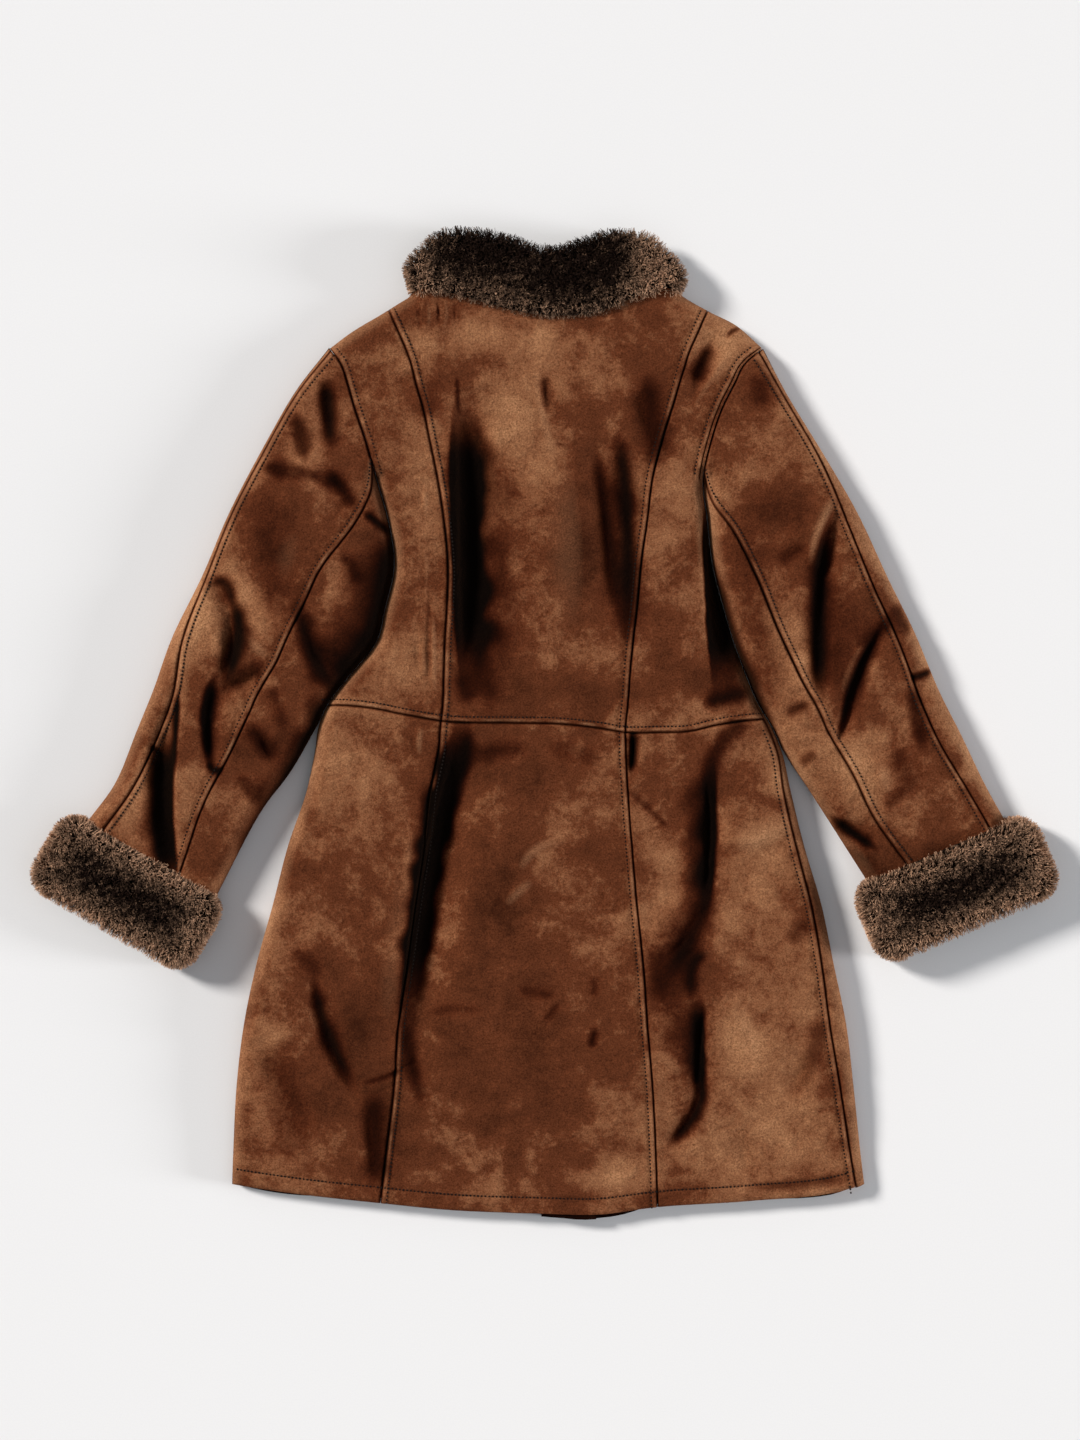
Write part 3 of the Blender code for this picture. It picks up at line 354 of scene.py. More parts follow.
def spline(xs: Sequence[float], ys: Sequence[float], at: Array) -> Array:
    """Smooth curve through the points (xs, ys), read at the values in at."""
    xs = np.asarray(xs, float)
    ys = np.asarray(ys, float)
    if xs[0] > xs[-1]:
        xs = xs[::-1]
        ys = ys[::-1]
    at = np.clip(at, xs[0], xs[-1])
    slopes = np.gradient(ys, xs)
    i = np.clip(np.searchsorted(xs, at) - 1, 0, len(xs) - 2)
    span = xs[i + 1] - xs[i]
    t = (at - xs[i]) / span
    return ((1 + 2 * t) * (1 - t) ** 2 * ys[i] + t * (1 - t) ** 2 * span * slopes[i]
            + t * t * (3 - 2 * t) * ys[i + 1] + t * t * (t - 1) * span * slopes[i + 1])


def smooth_step(t: Array) -> Array:
    """Soft rise from 0 to 1."""
    t = np.clip(t, 0.0, 1.0)
    return t * t * (3 - 2 * t)


def rounding(distance: Array, radius: float) -> Array:
    """Quarter-circle rise from 0 at an edge to 1 at the radius from it."""
    t = np.clip(distance / radius, 0.0, 1.0)
    return np.sqrt(1 - (1 - t) ** 2)


def bump(distance: Array, width: float) -> Array:
    """Soft hill that is 1 at distance 0 and fades over the width."""
    return np.exp(-(distance / width) ** 2)


def nearest(x: Array, y: Array, path: Array) -> tuple[Array, Array, Array]:
    """Find the nearest place of a path for each point.

    Returns:
        The distance; the number of the stretch plus the share along it; and a value
        that is above 0 on the left of the way.
    """
    best = np.full(np.shape(x), FAR)
    place = np.zeros(np.shape(x))
    side = np.zeros(np.shape(x))
    for number, ((ax, ay), (bx, by)) in enumerate(zip(path[:-1], path[1:])):
        dx = bx - ax
        dy = by - ay
        t = np.clip(((x - ax) * dx + (y - ay) * dy) / (dx * dx + dy * dy), 0.0, 1.0)
        off_x = x - ax - t * dx
        off_y = y - ay - t * dy
        distance = np.hypot(off_x, off_y)
        nearer = distance < best
        best = np.where(nearer, distance, best)
        place = np.where(nearer, number + t, place)
        side = np.where(nearer, dx * off_y - dy * off_x, side)
    return best, place, side


def near_path(x: Array, y: Array, path: Array) -> tuple[Array, Array]:
    """Distance of each point to a path, and how far along the path that is."""
    distance, place, _ = nearest(x, y, path)
    lengths = np.append(0.0, np.cumsum(np.hypot(*np.diff(path, axis=0).T)))
    return distance, np.interp(place, np.arange(len(path)), lengths)


def near_folds(folds: Sequence[Fold], x: Array,
               y: Array) -> Iterator[tuple[Fold, Array, Array, Array]]:
    """The folds that lie near the points.

    Yields:
        A fold, which points it reaches, their distance to it in its own widths, and
        their share along it.
    """
    t = np.linspace(0.0, 1.0, FOLD_STEPS + 1)
    weights = ((1 - t) * (1 - 2 * t), 4 * t * (1 - t), t * (2 * t - 1))
    for fold in folds:
        places = np.array(fold[:6]).reshape(3, 2)
        reach = 3 * fold.half_width * max(fold.lean, 1.0)
        (low_x, low_y), (high_x, high_y) = places.min(axis=0) - reach, places.max(axis=0) + reach
        close = (x > low_x) & (x < high_x) & (y > low_y) & (y < high_y)
        if close.any():
            path = sum(weight[:, None] * place for weight, place in zip(weights, places))
            distance, place, side = nearest(x[close], y[close], path)
            width = np.where(side > 0, fold.half_width * fold.lean, fold.half_width)
            yield fold, close, distance / width, place / FOLD_STEPS


def fold_depth(folds: Sequence[Fold], x: Array, y: Array) -> Array:
    """Height taken away by the folds at each point."""
    total = np.zeros(np.shape(x))
    for fold, close, distance, share in near_folds(folds, x, y):
        ends = np.sin(np.pi * share) ** FOLD_END
        total[close] += fold.depth * ends * np.exp(-distance ** 2)
    return total


def hollow_shade(hollows: Sequence[Fold], x: Array, y: Array) -> Array:
    """How dark the painted shade of the hollows is at each point, from 0 to 1.

    A depth above 1 has a level floor. Both ends grow narrower and fade.
    """
    light = np.ones(np.shape(x))
    for hollow, close, distance, share in near_folds(hollows, x, y):
        end = smooth_step(share / HOLLOW.fading) * smooth_step((1 - share) / HOLLOW.fading)
        ragged = 1 + HOLLOW.ragged * value_noise(x[close], y[close], HOLLOW.ragged_step, 83)
        width = (1 - HOLLOW.narrowing + HOLLOW.narrowing * end) * ragged
        light[close] *= 1 - end * np.minimum(hollow.depth * np.exp(-(distance / width) ** 2), 1.0)
    dark = 1 - light
    return 1 - light ** (1 + dark)


NOISE_CELLS = 61


def value_noise(x: Array, y: Array, scale: float, seed: int) -> Array:
    """Smooth noise between -1 and 1 with hills about scale millimetres apart.

    Its lattice of random values is turned, so that it doesn't lie along the cloth.
    """
    cells = NOISE_CELLS
    lattice = np.random.default_rng(seed).uniform(-1.0, 1.0, (cells, cells))
    u = (0.8 * x + 0.6 * y) / scale
    v = (0.8 * y - 0.6 * x) / scale
    i = np.floor(u).astype(int)
    j = np.floor(v).astype(int)
    fu = smooth_step(u - i)
    fv = smooth_step(v - j)
    low = lattice[i % cells, j % cells] * (1 - fu) + lattice[(i + 1) % cells, j % cells] * fu
    high = (lattice[i % cells, (j + 1) % cells] * (1 - fu)
            + lattice[(i + 1) % cells, (j + 1) % cells] * fu)
    return low * (1 - fv) + high * fv


def points(x: Array, y: Array, z: Array) -> Array:
    """Join three coordinates into one array of points."""
    return np.stack(np.broadcast_arrays(x, y, z), axis=-1).astype(float)


def polyline(xs: Array, ys: Array) -> Array:
    """A path as an array of (x, y)."""
    return np.stack((xs, ys), axis=-1)


# ---- plan of the body -----------------------------------------------------

def edge_x(name: str, y: Array) -> Array:
    """X of an edge or a seam of the body at the height y."""
    return spline(column(BODY, "y"), column(BODY, name), y)


def edge_x_up(name: str, y: Array) -> Array:
    """Seams that run on past the last section, up to the shoulder line."""
    first = BODY[0]
    second = BODY[1]
    lean = (getattr(first, name) - getattr(second, name)) / (first.y - second.y)
    return edge_x(name, y) + np.maximum(y - first.y, 0.0) * lean * SHOULDER_BEND


def line_y(line: Sequence[Across], x: Array) -> Array:
    """Y of a line that runs across the body, at x."""
    return spline(column(line, "x"), column(line, "y"), x)


def opening_x(name: str, y: Array) -> Array:
    """X of a front edge at the height y."""
    return spline(column(OPENING, "y"), column(OPENING, name), y)


def level_y(x: Array, v: Array) -> Array:
    """Y at x on level v: 0 is the hem, 1 the waist seam, 2 the top line."""
    hem = line_y(HEM_LINE, x)
    waist = line_y(WAIST_LINE, x)
    top = line_y(TOP_LINE, x)
    return np.where(v < 1, hem + (waist - hem) * v, waist + (top - waist) * (v - 1))


CROSSING_STEPS = 60
CROSSING_SHARE = 0.4


def body_column(name: str, levels: Array) -> Array:
    """X of an edge or a seam where it crosses each level.

    The two depend on each other, so both are brought closer step by step.
    """
    x = np.zeros(len(levels))
    y = np.zeros(len(levels))
    for _ in range(CROSSING_STEPS):
        y = (1 - CROSSING_SHARE) * y + CROSSING_SHARE * level_y(x, levels)
        if name in ("left", "right"):
            x = edge_x(name, np.minimum(y, SHOULDER_TOP))
        else:
            x = edge_x_up(name, y)
    return x


def seam_path(name: str, low: float, high: float, step: float = 6.0) -> Array:
    """A seam that runs up the body, as a path."""
    ys = np.linspace(low, high, max(2, int((high - low) / step)))
    return polyline(edge_x_up(name, ys), ys)


def across_path(line: Sequence[Across], first: float, last: float, step: float = 6.0) -> Array:
    """A stretch of a line that runs across the body, as a path."""
    xs = np.linspace(first, last, max(2, int(abs(last - first) / step)))
    return polyline(xs, line_y(line, xs))


def side_edge(name: str) -> Array:
    """An outer edge of the body from the armhole to the hem, as a path."""
    y = np.linspace(ARMHOLE_BOTTOM, BODY[-1].y, 60)
    return polyline(edge_x(name, y), y)


BODY_RIM = (
    side_edge("left"),
    side_edge("right"),
    across_path(TOP_LINE, TOP_LINE[0].x, FUR.collar_foot_left),
    across_path(TOP_LINE, FUR.collar_foot_right, TOP_LINE[-1].x),
)


def body_rim_distance(x: Array, y: Array) -> Array:
    """Distance to the nearest edge where back and front are joined."""
    return np.min([near_path(x, y, path)[0] for path in BODY_RIM], axis=0)


# ---- seams and creases ----------------------------------------------------

@dataclass(frozen=True)
class SeamStyle:
    """Cross-section of a sewn seam, in millimetres."""

    allowance: float = 5.6          # from the seam to its row of topstitching
    groove: float = 2.2
    groove_width: float = 1.2
    ridge: float = 1.3
    stitch_dip: float = 0.9
    dip_width: float = 0.8
    flat_from: float = 1.6          # the ridge is flat from here
    flat_past: float = 0.9          # to here past its stitches
    flat_fade: float = 1.4
    roll: float = 0.5               # the swelling of a side without stitches
    roll_place: float = 4.5
    roll_width: float = 3.0
    pucker: float = 0.7
    pucker_step: float = 9.0
    pucker_reach: float = 12.0
    pucker_from: float = 3.0
    # The ridge of a stitched seam is lighter: rubbing together with a painted highlight.
    wear_highlight: float = 0.4
    wear_highlight_step: float = 11.0
    wear_highlight_place: float = 2.5
    wear_highlight_width: float = 1.4
    line_width: float = 1.2         # of the dark line of a seam
    stitch_fading: float = 1.5      # how much fainter the line of the stitches is

    def relief(self, distance: Array, along: Array, stitched: bool, seed: int) -> Array:
        """Height added to the cloth beside a seam."""
        height = -self.groove * bump(distance, self.groove_width)
        pull = value_noise(along, 0.0 * along, self.pucker_step, seed)
        height += (self.pucker * pull * bump(distance, self.pucker_reach)
                   * smooth_step(distance / self.pucker_from))
        if not stitched:
            return height + self.roll * bump(distance - self.roll_place, self.roll_width)
        left = (self.allowance + self.flat_past - distance) / self.flat_fade
        flat = smooth_step(distance / self.flat_from) * smooth_step(left)
        dip = -self.stitch_dip * bump(distance - self.allowance, self.dip_width)
        return height + self.ridge * flat + dip

    def worn(self, distance: Array, along: Array, seed: int) -> Array:
        """How much the ridge of a stitched seam is rubbed and lit by painted highlight."""
        uneven = self.wear_highlight + self.wear_highlight * value_noise(along, 0.0 * along, self.wear_highlight_step, seed)
        return uneven * bump(distance - self.wear_highlight_place, self.wear_highlight_width)


@dataclass(frozen=True)
class Border:
    """A seam beside a piece; stitched if this piece carries the topstitching."""

    path: Array
    stitched: bool
    seed: int


SEAM = SeamStyle()


def sew(x: Array, y: Array, borders: Sequence[Border]) -> tuple[Array, Array, Array]:
    """Relief beside seams, distance to the closest line, and rubbing with painted highlight on the
    ridges.
    """
    relief = np.zeros(np.shape(x))
    closest = np.full(np.shape(x), FAR)
    edges = np.zeros(np.shape(x))
    for border in borders:
        distance, along = near_path(x, y, border.path)
        relief += SEAM.relief(distance, along, border.stitched, border.seed)
        closest = np.minimum(closest, distance)
        if border.stitched:
            edges = np.maximum(edges, SEAM.worn(distance, along, border.seed + 40))
            stitches = np.abs(distance - SEAM.allowance) + SEAM.stitch_fading
            closest = np.minimum(closest, stitches)
    return relief, closest, edges


@dataclass(frozen=True)
class HemStyle:
    """The turned hem with its row of stitches, in millimetres."""

    stitch: float = 15.5            # the stitches are this far above the edge
    dip: float = 0.9
    dip_width: float = 1.0
    middle: float = 9.0             # puckers and gathers are highest here
    pucker: float = 0.7
    pucker_step: float = 9.0
    pucker_width: float = 8.0
    pucker_slope: float = 0.1       # how fast they change up the coat
    gather: float = 0.8
    gather_step: float = 4.4
    gather_width: float = 9.0
    gather_slope: float = 0.06
    gather_x: float = 174.0         # the thread draws the hem up most here
    gather_reach: float = 52.0
    gather_elsewhere: float = 0.2
    flat: float = 60.0              # the waves of the cloth fade so far above it

    def relief(self, x: Array, y: Array) -> Array:
        """Height added to the cloth above the hem."""
        above, along = near_path(x, y, across_path(HEM_LINE, HEM_LINE[0].x, HEM_LINE[-1].x))
        puckers = self.pucker * value_noise(along, above * self.pucker_slope, self.pucker_step, 71)
        gathers = self.gather * value_noise(along, above * self.gather_slope, self.gather_step, 73)
        gathers = gathers * (self.gather_elsewhere + bump(x - self.gather_x, self.gather_reach))
        return (puckers * bump(above - self.middle, self.pucker_width)
                + gathers * bump(above - self.middle, self.gather_width)
                - self.dip * bump(above - self.stitch, self.dip_width))


@dataclass(frozen=True)
class WearAndHighlight:
    """Rubbing and painted highlight on the folded outline and on the ridges of the folds."""

    outline: float = 0.8
    uneven: float = 0.35
    step: float = 33.0              # millimetres between more and less rubbed and lit places
    share: float = 0.7
    width: float = 9.0
    ridge: float = 4.0              # a ridge of this height is rubbed and lit all over
    fold_share: float = 0.25        # the wide ridges count for less than the creases

    def at_outline(self, distance: Array, x: Array, y: Array) -> Array:
        """Rubbing with painted highlight along a folded outline, at a distance from it."""
        uneven = self.outline + self.uneven * value_noise(x, y, self.step, 61)
        return self.share * uneven * bump(distance, self.width)


HEM = HemStyle()
WEAR_AND_HIGHLIGHT = WearAndHighlight()

# Creases that are too fine for the solids, and the painted shade in the hollows of all folds.
# They are laid out on a grid over the coat, in steps of 0.97 mm counted from its
# upper left corner; the middle of the coat is at GRID_MIDDLE.
GRID_STEP = 0.97
GRID_MIDDLE = (544.5, 724.5)


class Crease(NamedTuple):
    """A crease through three points of the grid; a ridge has depth < 0.

    In the tables of painted shade the depth is how dark the painted shade is, from 0 to 1.
    """

    across1: float
    down1: float
    across2: float
    down2: float
    across3: float
    down3: float
    half_width: float
    depth: float
    lean: float = 1.0

    def fold(self) -> Fold:
        """The same crease in millimetres."""
        places = []
        for across, down in (self[0:2], self[2:4], self[4:6]):
            places += [(across - GRID_MIDDLE[0]) * GRID_STEP, (GRID_MIDDLE[1] - down) * GRID_STEP]
        return Fold(*places, self.half_width, self.depth, self.lean)


def on_grid(*rows: tuple[float, ...]) -> tuple[Fold, ...]:
    """A table of creases in millimetres; each row has the columns of a Crease."""
    return tuple(crease.fold() for crease in rows_of(Crease, *rows))


BACK_CREASES = on_grid(
    (461, 392, 462, 540, 466, 665, 4, 7, 5), (595, 445, 606, 528, 616, 612, 6, 4, 2),
    (614, 462, 625, 508, 634, 545, 5, 3, 1.5), (630, 388, 640, 410, 652, 432, 6, 3),
    (544, 380, 545, 395, 547, 412, 3, 2.4, 2), (537, 372, 541, 410, 554, 465, 5, -2.6),
    (691, 388, 702, 366, 712, 345, 8, 3), (691, 413, 708, 384, 728, 358, 4, -2.2),
    (725, 343, 731, 334, 743, 330, 2.5, 2.2), (702, 491, 705, 571, 709, 662, 6, -3.2, 0.4),
    (712, 540, 718, 610, 724, 675, 8, 6, 1.6), (425, 491, 426, 504, 426, 518, 2.5, -2),
    (425, 548, 428, 577, 426, 614, 3, -1.6), (433, 617, 433.5, 649, 435, 693, 3, -2.6),
    (429, 560, 430, 640, 430, 690, 3, 1.8), (423, 646, 424, 660, 425, 675, 2.5, -1.6),
    (415, 600, 417, 640, 418, 680, 4, 1.4), (436, 298, 439, 313, 437.5, 328, 1.8, 2.4),
    (420, 305, 419, 321, 422, 337, 2.5, 1.8), (453.5, 302, 455, 316, 453.5, 328, 2, 1.8),
    (445, 300, 447, 316, 444, 334, 2.2, -1.4), (428, 302, 430, 318, 428, 334, 2.2, -1.4),
    (456, 669, 464, 682, 472, 694, 5, 2), (366, 352, 372, 372, 378, 400, 8, 1.8),
    (395, 400, 402, 440, 408, 470, 7, 1.6), (463, 732, 428, 862, 402, 1030, 4, 7, 5.5),
    (412, 1040, 418, 1068, 426, 1098, 8, 2.4), (424, 728, 420, 740, 421, 756, 3, -2.2),
    (412, 835, 410, 860, 407, 890, 4, -1.4), (313, 975, 330, 1040, 362, 1100, 7, 4, 0.6),
    (366, 1100, 371, 1135, 375, 1183, 5, 2.5), (404, 1066, 384, 1074, 358, 1079, 2.5, 2.4),
    (398, 1082, 380, 1090, 362, 1093, 2.5, 1.8), (420, 1058, 405, 1064, 392, 1068, 2.5, 1.8),
    (258, 1035, 285, 1085, 309, 1132, 14, 3), (513, 986, 536, 992, 562, 995, 3.5, 2),
    (432, 1015, 462, 1010, 493, 1011, 3, 1.8), (486, 1125, 510, 1118, 536, 1112, 4, 1.8),
    (560, 1000, 552, 1010, 540, 1022, 3, 1.8), (593, 975, 594, 985, 592, 996, 3, 1.8),
    (596, 1026, 593, 1036, 590, 1046, 3, 2.2), (520, 870, 535, 850, 560, 838, 5, -2),
    (505, 905, 520, 890, 533, 880, 5, -1.8), (480, 760, 500, 752, 530, 756, 5, 1.8),
    (540, 748, 575, 752, 612, 770, 5, 1.8), (631, 733, 632, 750, 630, 775, 2.5, 5, 1.4),
    (627, 789, 647, 810, 676, 836, 3, 2.2), (706, 782, 707, 835, 705, 893, 5, 5, 0.5),
    (700, 905, 685, 930, 665, 962, 6, 4), (699, 950, 680, 962, 664, 985, 4, 2.4),
    (712, 950, 684, 960, 664, 980, 3, -2), (690, 925, 676, 938, 662, 944, 4, -1.8),
    (708, 1005, 699, 1040, 696, 1085, 5, 5, 0.5), (697, 1086, 690, 1112, 667, 1143, 5, 4),
    (785, 826, 760, 838, 735, 846, 8, -2.6), (722, 855, 700, 866, 690, 884, 8, -2),
    (808, 1050, 797, 1075, 785, 1100, 9, 2.2), (735, 1120, 742, 1150, 748, 1175, 8, 2.2),
    (730, 1000, 745, 1030, 752, 1060, 9, -2), (640, 960, 652, 990, 660, 1020, 6, 1.8),
    (655, 1050, 668, 1060, 680, 1075, 6, -1.8), (262, 860, 268, 900, 262, 940, 12, -2),
    (300, 760, 310, 800, 322, 850, 12, 1.8), (340, 880, 350, 910, 340, 940, 10, 2),
)
# Painted shade in the hollows of the back.
BACK_SHADES = on_grid(
    (456, 380, 455, 540, 466, 720, 3, 2.8, 8.6), (457, 376, 458, 396, 459, 424, 3, 0.6),
    (474, 600, 484, 662, 492, 730, 15, 0.5), (488, 430, 502, 560, 504, 716, 22, 0.3),
    (428, 372, 432, 400, 436, 432, 12, 0.3), (446, 400, 450, 540, 458, 690, 6, 0.3),
    (594, 448, 606, 520, 622, 650, 7, 0.6), (612, 430, 626, 510, 624, 690, 9, 0.8),
    (606, 430, 624, 540, 622, 700, 22, 0.4), (640, 366, 652, 420, 650, 490, 15, 0.6),
    (543, 372, 545, 395, 548, 420, 4, 0.5, 1.6), (691, 390, 702, 366, 712, 342, 9, 0.7),
    (725, 343, 731, 334, 743, 330, 2.5, 0.6), (705, 484, 707, 590, 716, 716, 3, 2.6, 9.5),
    (696, 706, 725, 698, 756, 690, 10, 0.75), (436, 298, 439, 313, 437.5, 328, 1.4, 0.7),
    (420, 305, 419, 321, 422, 337, 2, 0.3), (453.5, 302, 455, 316, 453.5, 328, 1.6, 0.4),
    (456, 669, 464, 690, 474, 706, 9, 0.5), (429, 560, 430, 640, 430, 690, 3, 0.3),
    (474, 700, 432, 850, 403, 1072, 13, 1.8), (470, 722, 463, 770, 448, 830, 8, 0.7),
    (404, 1000, 412, 1062, 428, 1112, 10, 0.6), (289, 950, 306, 958, 328, 982, 9, 0.4),
    (314, 965, 328, 1030, 364, 1102, 9, 0.85), (373, 1080, 376, 1135, 376, 1205, 13, 0.65),
    (262, 1020, 282, 1100, 312, 1180, 24, 0.35), (408, 1064, 384, 1076, 356, 1082, 3, 0.55),
    (513, 986, 536, 992, 562, 995, 6, 0.4), (420, 1015, 455, 1008, 493, 1011, 6, 0.3),
    (560, 1000, 552, 1010, 540, 1022, 5, 0.4), (593, 970, 594, 985, 592, 1000, 6, 0.4),
    (597, 1022, 593, 1036, 590, 1050, 6, 0.6), (470, 768, 500, 750, 536, 758, 10, 0.45),
    (540, 748, 575, 752, 612, 770, 10, 0.35), (631, 728, 632, 750, 629, 782, 4, 1.0, 1.4),
    (625, 787, 647, 808, 682, 842, 4, 0.4), (762, 730, 722, 740, 704, 812, 10, 0.6),
    (703, 930, 712, 836, 710, 744, 4, 1.35, 3.6), (708, 872, 692, 934, 654, 984, 12, 0.72),
    (690, 760, 694, 840, 692, 930, 13, 0.4), (680, 880, 672, 980, 690, 1100, 24, 0.4),
    (712, 950, 692, 966, 692, 1010, 6, 0.7), (700, 1104, 701, 1050, 700, 984, 4, 1.3, 3.2),
    (702, 1066, 695, 1112, 656, 1154, 7, 0.85), (666, 940, 656, 970, 668, 1010, 9, 0.4),
    (816, 1006, 812, 1052, 786, 1108, 12, 0.45), (800, 912, 796, 930, 782, 946, 12, 0.45),
    (730, 1186, 800, 1182, 858, 1172, 7, 0.5),
)
SLEEVE_CREASES = on_grid(
    (324, 380, 330, 408, 330, 443, 6, 4), (300, 424, 302, 442, 307, 457, 6, 2.5),
    (256, 468, 292, 480, 330, 485, 4, 2.2), (330, 484, 343, 488, 352, 498, 4, 2.2),
    (296, 512, 324, 515, 353, 509, 5, 1.6), (366, 518, 378, 525, 391, 534, 3, 2.6),
    (342, 561, 352, 568, 364, 576, 3, 1.8), (207, 591, 224, 592, 232, 612, 4, 3),
    (232, 606, 232, 640, 219, 679, 4, 5, 3), (219, 675, 210, 720, 219, 770, 4, 5, 3),
    (235, 681, 248, 684, 266, 670, 4, 2.6), (172, 728, 174, 800, 176, 872, 16, 6, 0.25),
    (153, 746, 160, 752, 167, 757, 1.8, 1.8), (307, 622, 316, 655, 336, 674, 5, 3.2),
    (254, 725, 268, 750, 287, 759, 5, 2.6), (233, 772, 240, 788, 248, 802, 6, 2.2),
    (262, 735, 268, 748, 272, 760, 5, 2.2), (233, 621, 252, 642, 269, 657, 6, -2.6),
    (268, 560, 262, 600, 270, 640, 12, 1.8), (296, 530, 288, 560, 276, 590, 12, -1),
    (186, 640, 180, 668, 172, 690, 6, 1.8), (140, 745, 150, 748, 164, 752, 3, 1.6),
    (832, 500, 815, 540, 811, 570, 4, -4), (829, 525, 820, 583, 817, 646, 5, 3, 2.5),
    (817, 640, 816, 670, 821, 697, 5, 4, 2), (881, 631, 860, 660, 853, 690, 4, 4),
    (853, 688, 848, 715, 834, 745, 4, 4), (870, 636, 848, 672, 842, 700, 5, -3),
    (842, 700, 838, 718, 829, 735, 5, -2.6), (908, 675, 917, 674, 927, 671, 2.5, 2.6),
    (893, 612, 900, 622, 906, 632, 6, 2), (785, 713, 796, 709, 807, 704, 3, 2.6),
    (798, 726, 809, 730, 821, 734, 3, 2.2), (790, 690, 800, 697, 812, 700, 4, 1.6),
    (831, 820, 854, 831, 870, 843, 3, 3.6), (876, 760, 881, 777, 884, 794, 6, -2.6),
    (775, 560, 790, 556, 806, 548, 5, 1.8), (757, 500, 770, 494, 785, 497, 4, 1.4),
    (771, 540, 778, 532, 790, 526, 4, 1.6), (780, 432, 790, 428, 800, 420, 4, 1.4),
    (897, 716, 908, 730, 922, 748, 8, 2), (762, 600, 770, 625, 782, 650, 9, -1.8),
)
# Painted shade in the hollows of the sleeves.
SLEEVE_SHADES = on_grid(
    (324, 372, 330, 415, 331, 462, 10, 0.85), (293, 404, 303, 440, 308, 470, 10, 0.65),
    (252, 468, 304, 474, 358, 496, 9, 0.5), (326, 470, 343, 490, 362, 520, 9, 0.65),
    (268, 470, 274, 560, 290, 640, 24, 0.32), (262, 468, 276, 474, 294, 484, 8, 0.4),
    (362, 512, 378, 524, 396, 540, 5, 0.85), (340, 550, 352, 568, 368, 590, 7, 0.5),
    (208, 590, 228, 586, 236, 624, 7, 0.75), (232, 592, 240, 640, 220, 700, 11, 0.95),
    (222, 664, 207, 720, 217, 780, 5, 1.1, 2.2), (222, 698, 246, 676, 274, 664, 12, 0.6),
    (210, 756, 216, 770, 230, 766, 4, 0.9), (182, 902, 173, 810, 177, 716, 3, 2.0, 5.5),
    (182, 686, 179, 730, 176, 790, 5, 1.1, 0.6), (150, 744, 160, 752, 170, 760, 3, 0.7),
    (300, 594, 312, 650, 342, 700, 11, 0.8), (250, 716, 262, 742, 286, 762, 10, 0.6),
    (238, 770, 252, 790, 272, 806, 11, 0.5), (270, 682, 280, 706, 288, 740, 9, 0.4),
    (394, 500, 391, 598, 342, 700, 18, 1.35), (385, 540, 366, 620, 320, 712, 34, 0.4),
    (378, 630, 334, 706, 286, 790, 17, 1.2), (316, 730, 275, 802, 230, 876, 13, 0.95),
    (754, 372, 758, 392, 762, 416, 12, 0.45), (744, 490, 780, 512, 820, 520, 22, 0.2),
    (772, 566, 790, 556, 810, 546, 8, 0.4), (832, 500, 816, 610, 824, 722, 11, 0.98),
    (822, 560, 840, 640, 826, 716, 20, 0.32), (890, 612, 852, 680, 835, 756, 5, 0.9, 1.9),
    (852, 650, 868, 636, 894, 616, 10, 0.5), (888, 600, 899, 620, 908, 642, 9, 0.6),
    (906, 678, 918, 676, 934, 668, 4, 0.9), (905, 676, 913, 716, 924, 762, 9, 0.6),
    (890, 738, 900, 770, 918, 796, 13, 0.4), (880, 814, 892, 798, 910, 784, 8, 0.4),
    (780, 716, 796, 709, 812, 703, 5, 0.5), (796, 766, 806, 758, 816, 750, 6, 0.5),
    (824, 812, 850, 832, 882, 854, 6, 0.95), (708, 532, 738, 655, 802, 790, 7, 0.85),
    (738, 480, 762, 620, 814, 760, 30, 0.25), (836, 840, 856, 866, 880, 890, 12, 0.4),
)


class Patch(NamedTuple):
    """A soft blot in the suede or the fur, darker below 0 and lighter above; the blots hold painted
    light and painted shade as well as the suede's own colour.
    """

    x: float
    y: float
    radius_x: float
    radius_y: float
    degrees: float
    strength: float
